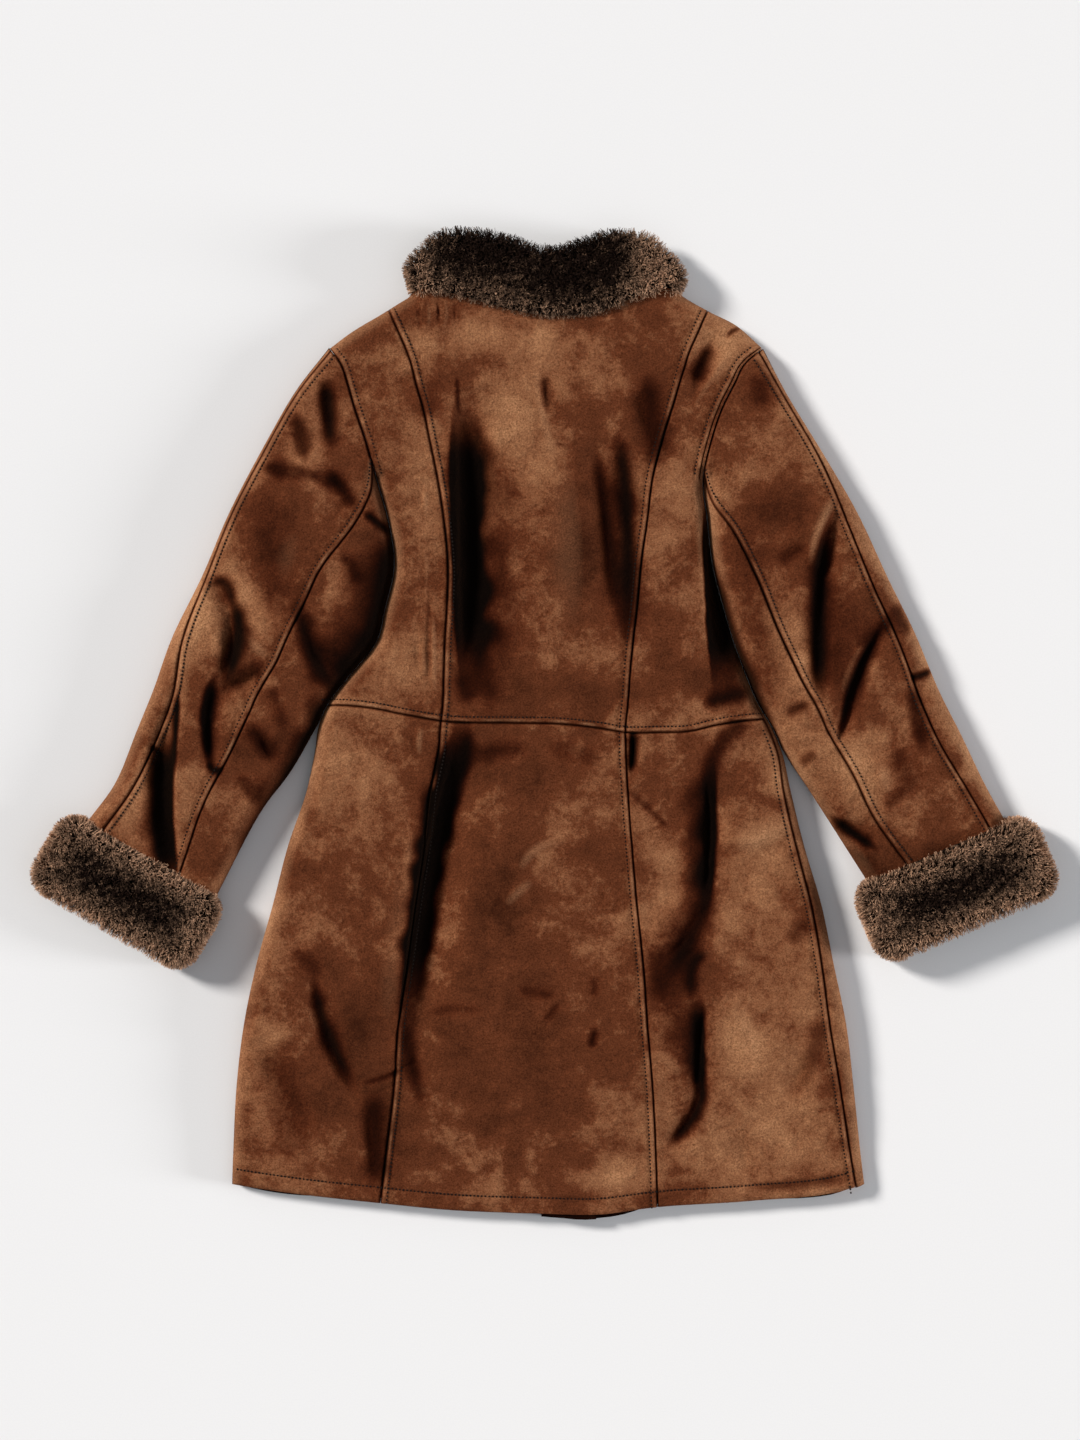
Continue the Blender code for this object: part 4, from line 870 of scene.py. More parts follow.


# Blots of the suede's own colour, together with painted light and painted shade.
TONE_AND_LIGHT_BLOTS = rows_of(Patch,
    (-34, 315, 50, 66, 0, 0.7), (-121, 353, 18, 26, 0, 0.6), (-121, 312, 13, 28, 0, -0.8),
    (103, 295, 24, 46, -10, -0.8), (175, 360, 28, 22, 0, 0.8), (20, 395, 50, 16, 0, -0.4),
    (-20, 40, 60, 24, 0, -0.5), (34, 165, 22, 100, 0, -0.8), (-40, -385, 50, 40, 0, -0.4),
    (150, 40, 60, 24, 0, -0.5), (-120, 200, 20, 90, 0, 0.35), (130, 160, 24, 70, 0, 0.2),
    (-4, -277, 74, 78, 0, -0.8), (-20, -50, 60, 24, 0, -0.5), (64, -120, 40, 40, 20, -0.3),
    (-40, -170, 40, 34, 0, -0.4), (73, -436, 34, 18, 0, 0.8), (0, -400, 60, 26, 10, 0.3),
    (-179, -306, 34, 130, 8, -0.8), (-270, -260, 24, 110, 0, 0.6), (-200, -90, 40, 60, 0, 0.5),
    (141, -170, 26, 160, 0, -0.5), (228, -374, 52, 74, 0, 0.7), (205, -150, 34, 60, 0, 0.3),
    (190, -60, 34, 22, -25, -0.6), (110, -330, 24, 60, 0, 0.5), (112, -55, 24, 50, 0, -0.6),
    (-266, 179, 36, 56, -25, -0.65), (-344, 84, 16, 46, -20, 1.1), (-237, 101, 24, 40, -25, -0.6),
    (-169, 150, 16, 48, 0, -0.8), (-198, 63, 22, 22, 0, -1.0), (-266, -20, 34, 26, 0, -0.8),
    (-230, 262, 24, 16, 30, 0.7), (-286, 120, 14, 34, 20, 1.0), (-380, -40, 12, 50, -25, 0.6),
    (233, 84, 22, 66, 20, 1.0), (277, 70, 13, 60, 10, -0.7), (301, -46, 22, 34, 0, 1.3),
    (306, -138, 26, 24, 0, -1.2), (240, 215, 40, 34, 0, -0.5), (262, 290, 30, 40, 0, 0.4),
    (330, 20, 16, 60, 25, 0.4), (382, -128, 26, 20, 0, -1.3), (232, -52, 16, 16, 0, 1.2),
    (122, -152, 16, 40, 0, 0.9), (188, -310, 26, 40, -15, 0.7), (252, -320, 14, 40, 0, 0.8),
    (-318, 90, 14, 60, 30, 0.7), (-60, 60, 40, 90, 0, -0.25), (-10, 230, 34, 60, 0, 0.5),
    (256, 300, 12, 60, 27, 1.2), (314, 190, 14, 60, 27, 1.2), (366, 78, 16, 60, 27, 1.3),
    (412, -30, 14, 50, 27, 1.3), (-320, -112, 22, 50, 0, -0.7), (-85, 372, 40, 16, 0, 0.8),
)
# Painted shade in the hollows of the collar.
COLLAR_PATCHES = rows_of(Patch, (-58, 455, 34, 16, 0, -0.45), (30, 440, 46, 24, 0, -0.5))


def patch_tone(patches: Sequence[Patch], x: Array, y: Array) -> Array:
    """Sum of the blots at each point."""
    total = np.zeros(np.shape(x))
    for patch in patches:
        turn = math.radians(patch.degrees)
        along = (x - patch.x) * math.cos(turn) + (y - patch.y) * math.sin(turn)
        across = (y - patch.y) * math.cos(turn) - (x - patch.x) * math.sin(turn)
        out = (along / patch.radius_x) ** 2 + (across / patch.radius_y) ** 2
        total += patch.strength * np.exp(-out)
    return total


# ---- shells ---------------------------------------------------------------

ORIGIN = np.array([*(0.5 * (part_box("cuff_left")[0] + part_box("cuff_left")[1])).xy, 0.0])
ORIGIN[:2] -= np.array([CUFF_LEFT.x, CUFF_LEFT.y]) * MM
SHARP = math.radians(60)        # edges between faces that turn more stay sharp
COARSE = 6.0                    # rows farther apart than this need no fine steps


class Slot(Enum):
    """Material slots of the part."""

    SUEDE = "suede"
    FUR = "fur"


def add_object(name: str, data: bpy.types.ID) -> Piece:
    """Put an object into the scene."""
    made = bpy.data.objects.new(name, data)
    bpy.context.scene.collection.objects.link(made)
    return made


def link_mesh(name: str, verts: Array, faces: list[list[int]], material: Material,
              marks: dict[str, Array]) -> Piece:
    """Make an object from arrays, with float attributes on its points."""
    mesh = bpy.data.meshes.new(name)
    mesh.from_pydata((verts * MM + ORIGIN).tolist(), [], faces)
    for key, values in marks.items():
        layer = mesh.attributes.new(key, "FLOAT", "POINT")
        layer.data.foreach_set("value", np.asarray(values, np.float32).ravel())
    mesh.materials.append(material)
    mesh.shade_smooth()
    return add_object(name, mesh)


@dataclass
class Shell:
    """A wall between two grids of points; closed joins each row in a ring.

    The inside keeps only each so many rows: where it lies under the outside it
    takes the lowest height of the rows that it leaves out, else the highest.
    """

    name: str
    outer: Array
    inner: Array
    marks: dict[str, Array]
    closed: bool = False
    coarse: bool = False

    def kept_rows(self) -> Array:
        """Rows of the outside that the inside has too."""
        rows = len(self.outer)
        if not self.coarse:
            return np.arange(rows)
        return np.unique(np.append(np.arange(0, rows, STEP.inside), rows - 1))

    def plain_inside(self, kept: Array) -> Array:
        """The inside at the kept rows, clear of the folds between them."""
        inside = self.inner[kept].copy()
        if not self.coarse:
            return inside
        under = self.inner[..., 2] <= self.outer[..., 2]
        for place, row in enumerate(kept):
            near = np.s_[max(row - STEP.inside, 0):row + STEP.inside + 1]
            low = self.inner[near, :, 2].min(axis=0)
            high = self.inner[near, :, 2].max(axis=0)
            inside[place, :, 2] = np.where(under[row], low, high)
        return inside

    def faces(self, kept: Array) -> list[list[int]]:
        """Faces of both sides and of the borders, as lists of point numbers."""
        rows, columns = self.outer.shape[:2]
        out = np.arange(rows * columns).reshape(rows, columns)
        far = rows * columns + np.arange(len(kept) * columns).reshape(len(kept), columns)
        if self.closed:
            out = np.concatenate((out, out[:, :1]), axis=1)
            far = np.concatenate((far, far[:, :1]), axis=1)

        def quads(a: Array) -> Array:
            return np.stack((a[:-1, :-1], a[:-1, 1:], a[1:, 1:], a[1:, :-1]), -1).reshape(-1, 4)

        def strip(a: Array, b: Array) -> Array:
            return np.stack((a[1:], a[:-1], b[:-1], b[1:]), -1)

        ends = strip(out[0], far[0]), strip(out[-1], far[-1])[:, ::-1]
        faces = np.concatenate((quads(out), quads(far)[:, ::-1], *ends)).tolist()
        if self.closed:
            return faces
        for place, (row, after) in enumerate(zip(kept[:-1], kept[1:])):
            faces.append([*out[row:after + 1, 0], far[place + 1, 0], far[place, 0]])
            faces.append([*out[row:after + 1, -1][::-1], far[place, -1], far[place + 1, -1]])
        return faces

    def spread(self, mark: Array, kept: Array, inside: bool) -> Array:
        """A mark's value at each point of the mesh; the inside has it or stays blank."""
        mark = np.broadcast_to(mark, self.outer.shape[:2])
        return np.concatenate((mark.ravel(), mark[kept].ravel() * inside))

    def build(self, material: Material) -> Piece:
        """Make the object, with its faces outward."""
        kept = self.kept_rows()
        verts = np.concatenate((self.outer.reshape(-1, 3), self.plain_inside(kept).reshape(-1, 3)))
        faces = self.faces(kept)
        plain = np.array([face for face in faces if len(face) == 4])
        a, b, c, d = (verts[plain[:, k]] for k in range(4))
        if np.sum(a * (np.cross(b, c) + np.cross(c, d))) < 0:       # its volume
            faces = [face[::-1] for face in faces]
        marks = {key: self.spread(value, kept, key == "fold") for key, value in self.marks.items()}
        made = link_mesh(self.name, verts, faces, material, marks)
        made.data.set_sharp_from_angle(angle=SHARP)
        return made


def seam_steps(step: float) -> Array:
    """Distances from a seam that show its groove, ridge and stitch line."""
    if step > COARSE:
        return np.array([0.0, COARSE])
    return np.array([0.0, 0.5, 1.1, 1.9, 3.0, 4.2, 5.0, 5.6, 6.2, 7.2, 9.0])


def rim_steps(radius: float, step: float) -> Array:
    """Distances from an edge that round it well."""
    fine = [0.0, 0.02, 0.08, 0.18, 0.32, 0.5, 0.75, 1.0]
    return radius * np.array([0.0, 0.12, 0.45, 1.0] if step > COARSE else fine)


def shares(length: float, head: Array, tail: Array, step: float) -> Array:
    """Shares of a length: close at both ends, even steps between."""
    room = 0.45 * length
    head = head[head < room]
    tail = tail[tail < room]
    between = length - head[-1] - tail[-1]
    middle = head[-1] + between * np.linspace(0.0, 1.0, max(2, round(between / step) + 1))
    return np.concatenate((head[:-1], middle, (length - tail[:-1])[::-1])) / length


def pull_apart(x: Array, y: Array, first_column: float = 0.0, last_column: float = 0.0,
               first_row: float = 0.0, last_row: Array | float = 0.0) -> None:
    """Move the borders of a grid inwards by the gaps given for each border."""
    borders = (
        (np.s_[:, 0], np.s_[:, 1], first_column), (np.s_[:, -1], np.s_[:, -2], last_column),
        (np.s_[0, :], np.s_[1, :], first_row), (np.s_[-1, :], np.s_[-2, :], last_row),
    )
    for edge, inside, gap in borders:
        dx = x[inside] - x[edge]
        dy = y[inside] - y[edge]
        length = np.maximum(np.hypot(dx, dy), 1e-6)
        x[edge] = x[edge] + dx / length * gap
        y[edge] = y[edge] + dy / length * gap


def round_edge(rim: int, top: Array, low: Array) -> Array:
    """Heights from the upper side round an edge, in column rim, to the under side."""
    made = np.where(np.arange(top.shape[1]) < rim, top, low)
    made[:, rim] = CLOTH.parting
    return made


def above_only(above: Array, marks: dict[str, Array]) -> dict[str, Array]:
    """Marks of the upper side; the under side is blank."""
    return {key: np.where(above, value, 0.0) for key, value in marks.items()}


def cloth_marks(x: Array, y: Array, shades: Array, ridges: Array, seams: Array,
                edges: Array) -> dict[str, Array]:
    """Attributes that the suede reads: painted shade of the hollows, rubbing with painted highlight
    on ridges, seam lines, and blots of own colour, painted light and painted shade.

    Args:
        x: across the coat.
        y: up the coat.
        shades: how dark the painted shade of the hollows is.
        ridges: height taken away by the folds, below 0 on a ridge.
        seams: distance to the closest line of a seam.
        edges: how much sewn ridges and the outline are rubbed and lit by painted highlight.
    """
    # Ridges and edges get rubbing with painted highlight; the hollows get painted shade.
    worn = np.clip(-ridges / WEAR_AND_HIGHLIGHT.ridge, 0.0, 1.0) + edges
    return {"fold": np.clip(shades, 0.0, 1.4), "worn": np.clip(worn, 0.0, 1.3),
            "seam": bump(seams, SEAM.line_width), "tone": patch_tone(TONE_AND_LIGHT_BLOTS, x, y)}


class Creasing(NamedTuple):
    """The folds, creases and painted shade of the hollows of one part of the coat."""

    folds: tuple[Fold, ...]
    creases: tuple[Fold, ...]
    hollows: tuple[Fold, ...]

    def cloth(self, x: Array, y: Array, from_rim: Array, borders: Sequence[Border]) -> Heights:
        """Depth of the folds, relief of creases and seams, and the marks."""
        folds = fold_depth(self.folds, x, y)
        creases = fold_depth(self.creases, x, y)
        sewn, seams, edges = sew(x, y, borders)
        # Rubbing with painted highlight along the outline.
        edges = np.maximum(edges, WEAR_AND_HIGHLIGHT.at_outline(from_rim, x, y))
        ridges = creases + WEAR_AND_HIGHLIGHT.fold_share * folds
        # Painted shade of the hollows, and painted highlight on ridges.
        marks = cloth_marks(x, y, hollow_shade(self.hollows, x, y), ridges, seams, edges)
        return folds, sewn - creases, marks


ON_BACK = Creasing(BACK_FOLDS, BACK_CREASES, BACK_SHADES)
ON_SLEEVE = Creasing(SLEEVE_FOLDS, SLEEVE_CREASES, SLEEVE_SHADES)


class Wave(NamedTuple):
    """Waves of the cloth: distance between their tops, and height."""

    step: float
    height: float


WAVES = rows_of(Wave, (47.0, 0.9), (19.0, 0.45), (7.0, 0.12))


def drape(x: Array, y: Array, seed: int) -> Array:
    """Slight waves that the folds leave between them."""
    return sum(wave.height * value_noise(x, y, wave.step, seed + number)
               for number, wave in enumerate(WAVES))


def shown_relief(rim: Array) -> Array:
    """Share of the relief that is left near a rounded edge."""
    return smooth_step(rim * 1.4 - 0.2)


# ---- back and fronts ------------------------------------------------------

class BackPanel(NamedTuple):
    """A piece of the back between two edges or seams."""

    node: str
    first: str
    last: str
    bodice: bool
    first_stitched: bool
    last_stitched: bool


BACK_PANELS = rows_of(BackPanel,
    ("back_side_bodice_left", "left", "left_seam", True, False, False),
    ("back_centre_bodice", "left_seam", "right_seam", True, True, True),
    ("back_side_bodice_right", "right_seam", "side_seam", True, False, False),
    ("back_side_skirt_left", "left", "left_seam", False, False, False),
    ("back_centre_skirt", "left_seam", "right_seam", False, True, True),
    ("back_side_skirt_right", "right_seam", "side_seam", False, False, True),
)


class Back:
    """The six pieces of the back, in the solids' own heights."""

    @staticmethod
    def layer_floor(x: Array, y: Array) -> Array:
        """Lowest height that the inside of the back may have over the fronts."""
        up = smooth_step((x - opening_x("right_front", y) + 2 * CLOTH.lap_ramp) / CLOTH.lap_ramp)
        down = smooth_step((x - opening_x("left_front", y) - CLOTH.lap_overhang) / CLOTH.lap_ramp)
        step = (CLOTH.lap_lift - CLOTH.lap_sink) * up * (1 - down)
        return CLOTH.parting + CLOTH.seam_gap / 2 + step

    @classmethod
    def height(cls, x: Array, y: Array, borders: Sequence[Border]) -> Heights:
        """Outer and inner height and the marks of the back."""
        above_hem = y - line_y(HEM_LINE, x)
        flat = CLOTH.hem_height + (CLOTH.body_height - CLOTH.hem_height) * smooth_step(
            above_hem / CLOTH.hem_flattening)
        floor = cls.layer_floor(x, y)
        from_rim = body_rim_distance(x, y)
        folds, relief, marks = ON_BACK.cloth(x, y, from_rim, borders)
        full = np.maximum(flat - folds, floor + CLOTH.least_wall)
        rim = rounding(from_rim, CLOTH.upper_rim)
        full = CLOTH.parting + (full - CLOTH.parting) * rim
        inner = np.maximum(full - CLOTH.wall, floor)
        outer = np.maximum(full, inner + CLOTH.rim_thickness)
        hem = rounding(above_hem, CLOTH.hem_rounding)
        outer = inner + (outer - inner) * (0.5 + 0.5 * hem)
        relief = relief + drape(x, y, 5) * smooth_step(above_hem / HEM.flat) + HEM.relief(x, y)
        outer = outer + relief * shown_relief(rim)
        return np.maximum(outer, inner + CLOTH.thinnest), inner, marks

    @staticmethod
    def borders(panel: BackPanel) -> list[Border]:
        """Seams beside a panel."""
        low, high = (-10.0, 420.0) if panel.bodice else (-475.0, 25.0)
        made = [Border(across_path(WAIST_LINE, -218, 218), panel.bodice, 3)]
        sides = ((panel.first, panel.first_stitched, 5), (panel.last, panel.last_stitched, 7))
        for name, stitched, seed in sides:
            if name in ("left_seam", "right_seam"):
                made.append(Border(seam_path(name, low, high), stitched, seed))
            elif name == "side_seam" and not panel.bodice:
                made.append(Border(seam_path(name, low, 18.0), stitched, seed))
        if panel.bodice and panel.first == "left":
            made.append(Border(seam_path("left", ARMHOLE_BOTTOM, SHOULDER_TOP), True, 11))
        if panel.bodice and panel.last == "side_seam":
            made.append(Border(seam_path("side_seam", ARMHOLE_BOTTOM, SHOULDER_TOP), True, 13))
        return made

    @staticmethod
    def levels(bodice: bool, step: float) -> Array:
        """Levels of the rows of a panel."""
        if bodice:
            tail = rim_steps(CLOTH.upper_rim, step)
            return 1 + shares(CLOTH.bodice_length, seam_steps(step), tail, step)
        fine = [0.0, 0.4, 1.2, 2.4, 4.0, 6.0, 9.0, 12.0, 14.2, 15.5, 16.8, 18.5]
        head = np.array([0.0, 1.5, 5.0] if step > COARSE else fine)
        return shares(CLOTH.skirt_length, head, seam_steps(step), step)

    @classmethod
    def plan(cls, panel: BackPanel, step: float) -> tuple[Array, Array]:
        """X and Y of the points of a panel."""
        levels = cls.levels(panel.bodice, step)
        first = body_column(panel.first, levels)
        last = body_column(panel.last, levels)
        width = float(np.max(last - first))
        head = rim_steps(CLOTH.upper_rim, step) if panel.first == "left" else seam_steps(step)
        spread = shares(width, head, seam_steps(step), step)
        x = first[:, None] + (last - first)[:, None] * spread
        return x, level_y(x, levels[:, None])

    @classmethod
    def shell(cls, panel: BackPanel) -> Shell:
        """The shell of one panel."""
        x, y = cls.plan(panel, PITCH)
        half = CLOTH.seam_gap / 2
        pull_apart(x, y, 0.0 if panel.first == "left" else half, half,
                   half if panel.bodice else 0.0, 0.0 if panel.bodice else half)
        if panel.bodice and panel.first == "left":
            leave_armhole(x, y, 0)
        if panel.bodice and panel.last == "side_seam":
            leave_armhole(x, y, -1)
        outer, inner, marks = cls.height(x, y, cls.borders(panel))
        return Shell(panel.node + "_suede", points(x, y, outer), points(x, y, inner), marks,
                     coarse=True)


def leave_armhole(x: Array, y: Array, edge: int) -> None:
    """Bring one border of a panel back from the armhole by half its gap."""
    inside = 1 if edge == 0 else -2
    along = y[:, edge] > ARMHOLE_BOTTOM
    step = np.sign(x[:, inside] - x[:, edge]) * CLOTH.armhole_gap / 2
    x[:, edge] = x[:, edge] + np.where(along, step, 0.0)


class HemShade(NamedTuple):
    """Shade on the fronts from the hem of the back, in millimetres."""

    strength: float
    above: float
    fade: float
    half_width: float


HEM_SHADE = HemShade(0.95, 12.0, 9.0, 285.0)


class Fronts:
    """The two fronts, underneath; the right one wraps up to the side seam."""

    step = 9.0                      # distance between the rows and columns
    drop_reach = 0.12               # share of the skirt over which a hem drops
    rise = 30.0                     # the creases fade so far from the edge
    most_turn = 0.4                 # share of the strip that may turn back
    slope = (0.25, 0.5, 0.75, 1.0)  # columns on the slope of the lap
    on_top = (1.0, 0.94, 0.85, 0.7, 0.55, 0.4, 0.28, 0.16, 0.08, 0.03)

    @staticmethod
    def height(x: Array, y: Array, lift: Array | float) -> tuple[Array, Array]:
        """Outer (under) height and inner height of a front."""
        rim = rounding(body_rim_distance(x, y), CLOTH.under_rim)
        inner = CLOTH.wall + (CLOTH.parting - CLOTH.seam_gap / 2 - CLOTH.wall) * (1 - rim) + lift
        outer = CLOTH.parting * (1 - rim) + lift
        return np.minimum(outer, inner - CLOTH.rim_thickness), inner

    @staticmethod
    def hollows(x: Array, y: Array) -> Array:
        """Creases that lift the under side off the table a little."""
        waves = value_noise(x, y, 60.0, 31) + 0.6 * value_noise(x * 1.6, y, 28.0, 33)
        return CLOTH.under_lift * np.clip(waves, 0.0, 1.0) ** 1.5

    @staticmethod
    def drop_hem(x: Array, y: Array, levels: Array, name: str) -> Array:
        """Let a front show below the hem of the back."""
        drop = spline(column(FRONT_HEM, "x"), column(FRONT_HEM, name), x)
        return y - drop * np.clip(1 - levels[:, None] / Fronts.drop_reach, 0.0, 1.0)

    @staticmethod
    def hem_shade(x: Array, y: Array) -> Array:
        """Painted shadow on the edge of a front that lies under the hem of the back."""
        under = smooth_step((line_y(HEM_LINE, x) + HEM_SHADE.above - y) / HEM_SHADE.fade)
        return HEM_SHADE.strength * under * (np.abs(x) < HEM_SHADE.half_width)

    @staticmethod
    def neck_gap(x: Array) -> Array:
        """Gap between a front and the collar or the shoulder, at x."""
        return np.where(np.abs(x) < FUR.collar_foot_right, FUR.front_neck_gap, FUR.shoulder_gap)

    @classmethod
    def left(cls) -> Shell:
        """The left front: from the left edge on to the right front."""
        levels = np.concatenate((Back.levels(False, cls.step), Back.levels(True, cls.step)[1:]))
        rows = []
        for edge, v in zip(body_column("left", levels), levels):
            y = level_y(np.array([0.0]), np.array([v]))[0]
            lap = opening_x("right_front", y)
            end = opening_x("left_front", y)
            foot = lap - CLOTH.lap_ramp - CLOTH.lap_margin
            rim = edge + rim_steps(CLOTH.under_rim, cls.step)
            middle = np.linspace(rim[-1], foot, 24)[1:]
            slope = foot + CLOTH.lap_ramp * np.array(cls.slope)
            rows.append(np.concatenate((rim, middle, slope, np.linspace(lap, end, 6))))
        x = np.array(rows)
        y = cls.drop_hem(x, level_y(x, levels[:, None]), levels, "left_drop")
        pull_apart(x, y, last_row=cls.neck_gap(x[-1]))
        leave_armhole(x, y, 0)
        lap = opening_x("right_front", y)
        climb = (x - lap + CLOTH.lap_ramp + CLOTH.lap_margin) / CLOTH.lap_ramp
        outer, inner = cls.height(x, y, CLOTH.lap_lift * smooth_step(climb))
        plain = 0.0 * x
        # The first mark is the painted shadow of the back's hem.
        marks = cloth_marks(x, y, cls.hem_shade(x, y), plain, plain + FAR, plain)
        return Shell("front_left_suede", points(x, y, outer), points(x, y, inner), marks)

    @classmethod
    def right(cls) -> Shell:
        """The right front: from the side seam on top, round the edge and under."""
        levels = np.concatenate((Back.levels(False, PITCH), Back.levels(True, cls.step)[1:]))
        edge = body_column("right", levels)
        seam = body_column("side_seam", levels) + CLOTH.seam_gap / 2
        on_top = np.array(cls.on_top)
        rows = []
        for a, s, v in zip(edge, seam, levels):
            y = level_y(np.array([0.0]), np.array([v]))[0]
            end = opening_x("right_front", y)
            under = a - rim_steps(CLOTH.under_rim, cls.step)
            middle = np.linspace(under[-1], end, 28)[1:]
            rows.append(np.concatenate((a - (a - s) * on_top, under, middle)))
        x = np.array(rows)
        y = cls.drop_hem(x, level_y(x, levels[:, None]), levels, "right_drop")
        pull_apart(x, y, last_row=cls.neck_gap(x[-1]))
        beside_sleeve = (y > ARMHOLE_BOTTOM) & (x > edge[:, None] - 1.0)
        x = x - np.where(beside_sleeve, CLOTH.armhole_gap / 2, 0.0)
        under_outer, under_inner = cls.height(x, y, 0.0)
        borders = [Border(seam_path("side_seam", -475.0, 18.0), False, 17)]
        top_outer, top_inner, marks = Back.height(x, y, borders)
        rim = len(on_top)
        above = np.arange(x.shape[1]) < rim
        lifted = under_outer + cls.hollows(x, y) * smooth_step((edge[:, None] - x) / cls.rise)
        lifted = np.minimum(lifted, under_inner - CLOTH.rim_thickness)
        outer = round_edge(rim, top_outer, lifted)
        inner = round_edge(rim, top_inner, under_inner)
        turn = np.zeros(x.shape)
        reach = (edge - seam)[:, None]
        turn[:, 1:rim] = np.minimum(CLOTH.turn_back, cls.most_turn * reach) * (1 - on_top[1:])
        from_edge = edge[:, None] - x[:, rim:]
        turn[:, rim:] = CLOTH.turn_back * np.clip(1 - from_edge / CLOTH.turn_fade, 0.0, 1.0)
        marks = above_only(above, marks)
        # Below the rim the under side carries the painted shadow of the back's hem.
        marks["fold"] = np.where(above, marks["fold"], cls.hem_shade(x, y))
        return Shell("front_right_suede", points(x, y, outer), points(x - turn, y, inner), marks)


# ---- sleeves --------------------------------------------------------------

def cuff_point(cuff: Cuff, along: Array, across: Array) -> tuple[Array, Array]:
    """World place of a point of a cuff: along its length, across to the hand."""
    turn = math.radians(cuff.degrees)
    x = cuff.x + along * math.cos(turn) + across * math.sin(turn)
    y = cuff.y + along * math.sin(turn) - across * math.cos(turn)
    return x, y


@dataclass
class Sleeve:
    """A three-piece sleeve: u from outer to inner edge, v from armhole to cuff."""

    stations: tuple[Station, ...]
    cuff: Cuff
    side: float
    label: str                      # "left" or "right", and the body's edge beside it

    def __post_init__(self) -> None:
        """Join the last station to the cuff and keep the two edges as paths."""
        across = -self.cuff.width / 2 - FUR.cuff_gap
        end_from = cuff_point(self.cuff, self.cuff.sleeve_from, across)
        end_to = cuff_point(self.cuff, self.cuff.sleeve_to, across)
        last = self.stations[-1]._replace(outer_x=end_from[0], outer_y=end_from[1],
                                          inner_x=end_to[0], inner_y=end_to[1])
        self.stations = self.stations[:-1] + (last,)
        v = np.linspace(0.0, 1.0, 41)
        self.outer_path = polyline(self.read("outer_x", v), self.read("outer_y", v))
        self.inner_path = polyline(self.inner_x(v), self.read("inner_y", v))

    def read(self, name: str, v: Array) -> Array:
        """A column of the stations at v."""
        return spline(np.linspace(0, 1, len(self.stations)), column(self.stations, name), v)

    def inner_x(self, v: Array) -> Array:
        """Inner edge, kept clear of the body that it lies beside."""
        beside = edge_x(self.label, self.read("inner_y", v)) + self.side * CLOTH.side_clearance
        return np.maximum(self.read("inner_x", v) * self.side, beside * self.side) * self.side

    def plan(self, u: Array, v: Array) -> tuple[Array, Array]:
        """World place of the point (u, v)."""
        outer_x = self.read("outer_x", v)
        outer_y = self.read("outer_y", v)
        x = outer_x + (self.inner_x(v) - outer_x) * u
        y = outer_y + (self.read("inner_y", v) - outer_y) * u
        first = self.stations[0]
        seam_y = first.outer_y + (first.inner_y - first.outer_y) * u
        gap = CLOTH.armhole_gap / 2 + (CLOTH.side_clearance - CLOTH.armhole_gap / 2) * u ** 6
        seam_x = edge_x(self.label, np.minimum(seam_y, SHOULDER_TOP)) + self.side * gap
        straight = first.outer_x + (self.inner_x(np.zeros(1))[0] - first.outer_x) * u
        fade = np.clip(1 - v / CLOTH.end_fade, 0.0, 1.0) ** 2
        return x + (seam_x - straight) * fade, y

    def width(self, v: Array) -> Array:
        """Straight distance between the two edges at v."""
        return np.hypot(self.read("outer_x", v) - self.inner_x(v),
                        self.read("outer_y", v) - self.read("inner_y", v))

    def rim_distance(self, x: Array, y: Array) -> Array:
        """Distance to the nearer edge."""
        edges = (self.outer_path, self.inner_path)
        return np.min([near_path(x, y, path)[0] for path in edges], axis=0)

    def seam(self, name: str) -> Array:
        """One of the two seams that show, as a path."""
        v = np.linspace(0.0, 1.0, 90)
        return polyline(*self.plan(self.read(name, v), v))

    def armhole(self) -> Array:
        """The seam round the armhole, as a path."""
        u = np.linspace(0.0, 1.0, 30)
        return polyline(*self.plan(u, 0.0 * u))

    def top(self, x: Array, y: Array, u: Array, v: Array, borders: Sequence[Border]) -> Heights:
        """Outer and inner height and marks of the upper side."""
        crown = (CLOTH.sleeve_crown * (1 - (2 * u - 1) ** 2) * smooth_step(v / CLOTH.end_fade)
                 * smooth_step((CLOTH.crown_end - v) / CLOTH.end_fade))
        from_rim = self.rim_distance(x, y)
        folds, relief, marks = ON_SLEEVE.cloth(x, y, from_rim, borders)
        full = np.maximum(CLOTH.sleeve_height + crown - folds, CLOTH.parting + CLOTH.least_wall)
        rim = rounding(from_rim, CLOTH.upper_rim)
        outer = CLOTH.parting + (full - CLOTH.parting) * rim
        lowest = CLOTH.parting + CLOTH.seam_gap
        inner = np.maximum(outer - CLOTH.wall, lowest)
        relief = relief + drape(x, y, 41 if self.side < 0 else 51)
        shown = outer + relief * shown_relief(rim)
        inner = np.minimum(inner, np.maximum(shown - CLOTH.rim_thickness, lowest))
        return np.maximum(shown, inner), inner, marks

    def bottom(self, x: Array, y: Array) -> tuple[Array, Array]:
        """Outer and inner height of the under side."""
        rim = rounding(self.rim_distance(x, y), CLOTH.under_rim)
        outer = CLOTH.parting * (1 - rim)
        inner = np.minimum(outer + CLOTH.wall, CLOTH.parting - CLOTH.seam_gap)
        lifted = outer + Fronts.hollows(x, y) * smooth_step((rim - 0.9) * 10)
        return np.minimum(lifted, inner - CLOTH.thinnest * (rim > 0.3)), inner

    def rows(self) -> Array:
        """Values of v for the rows."""
        even = np.linspace(0.022, 1.0, round(CLOTH.sleeve_length / PITCH))
        return np.concatenate(([0.0, 0.002, 0.005, 0.010, 0.016], even))

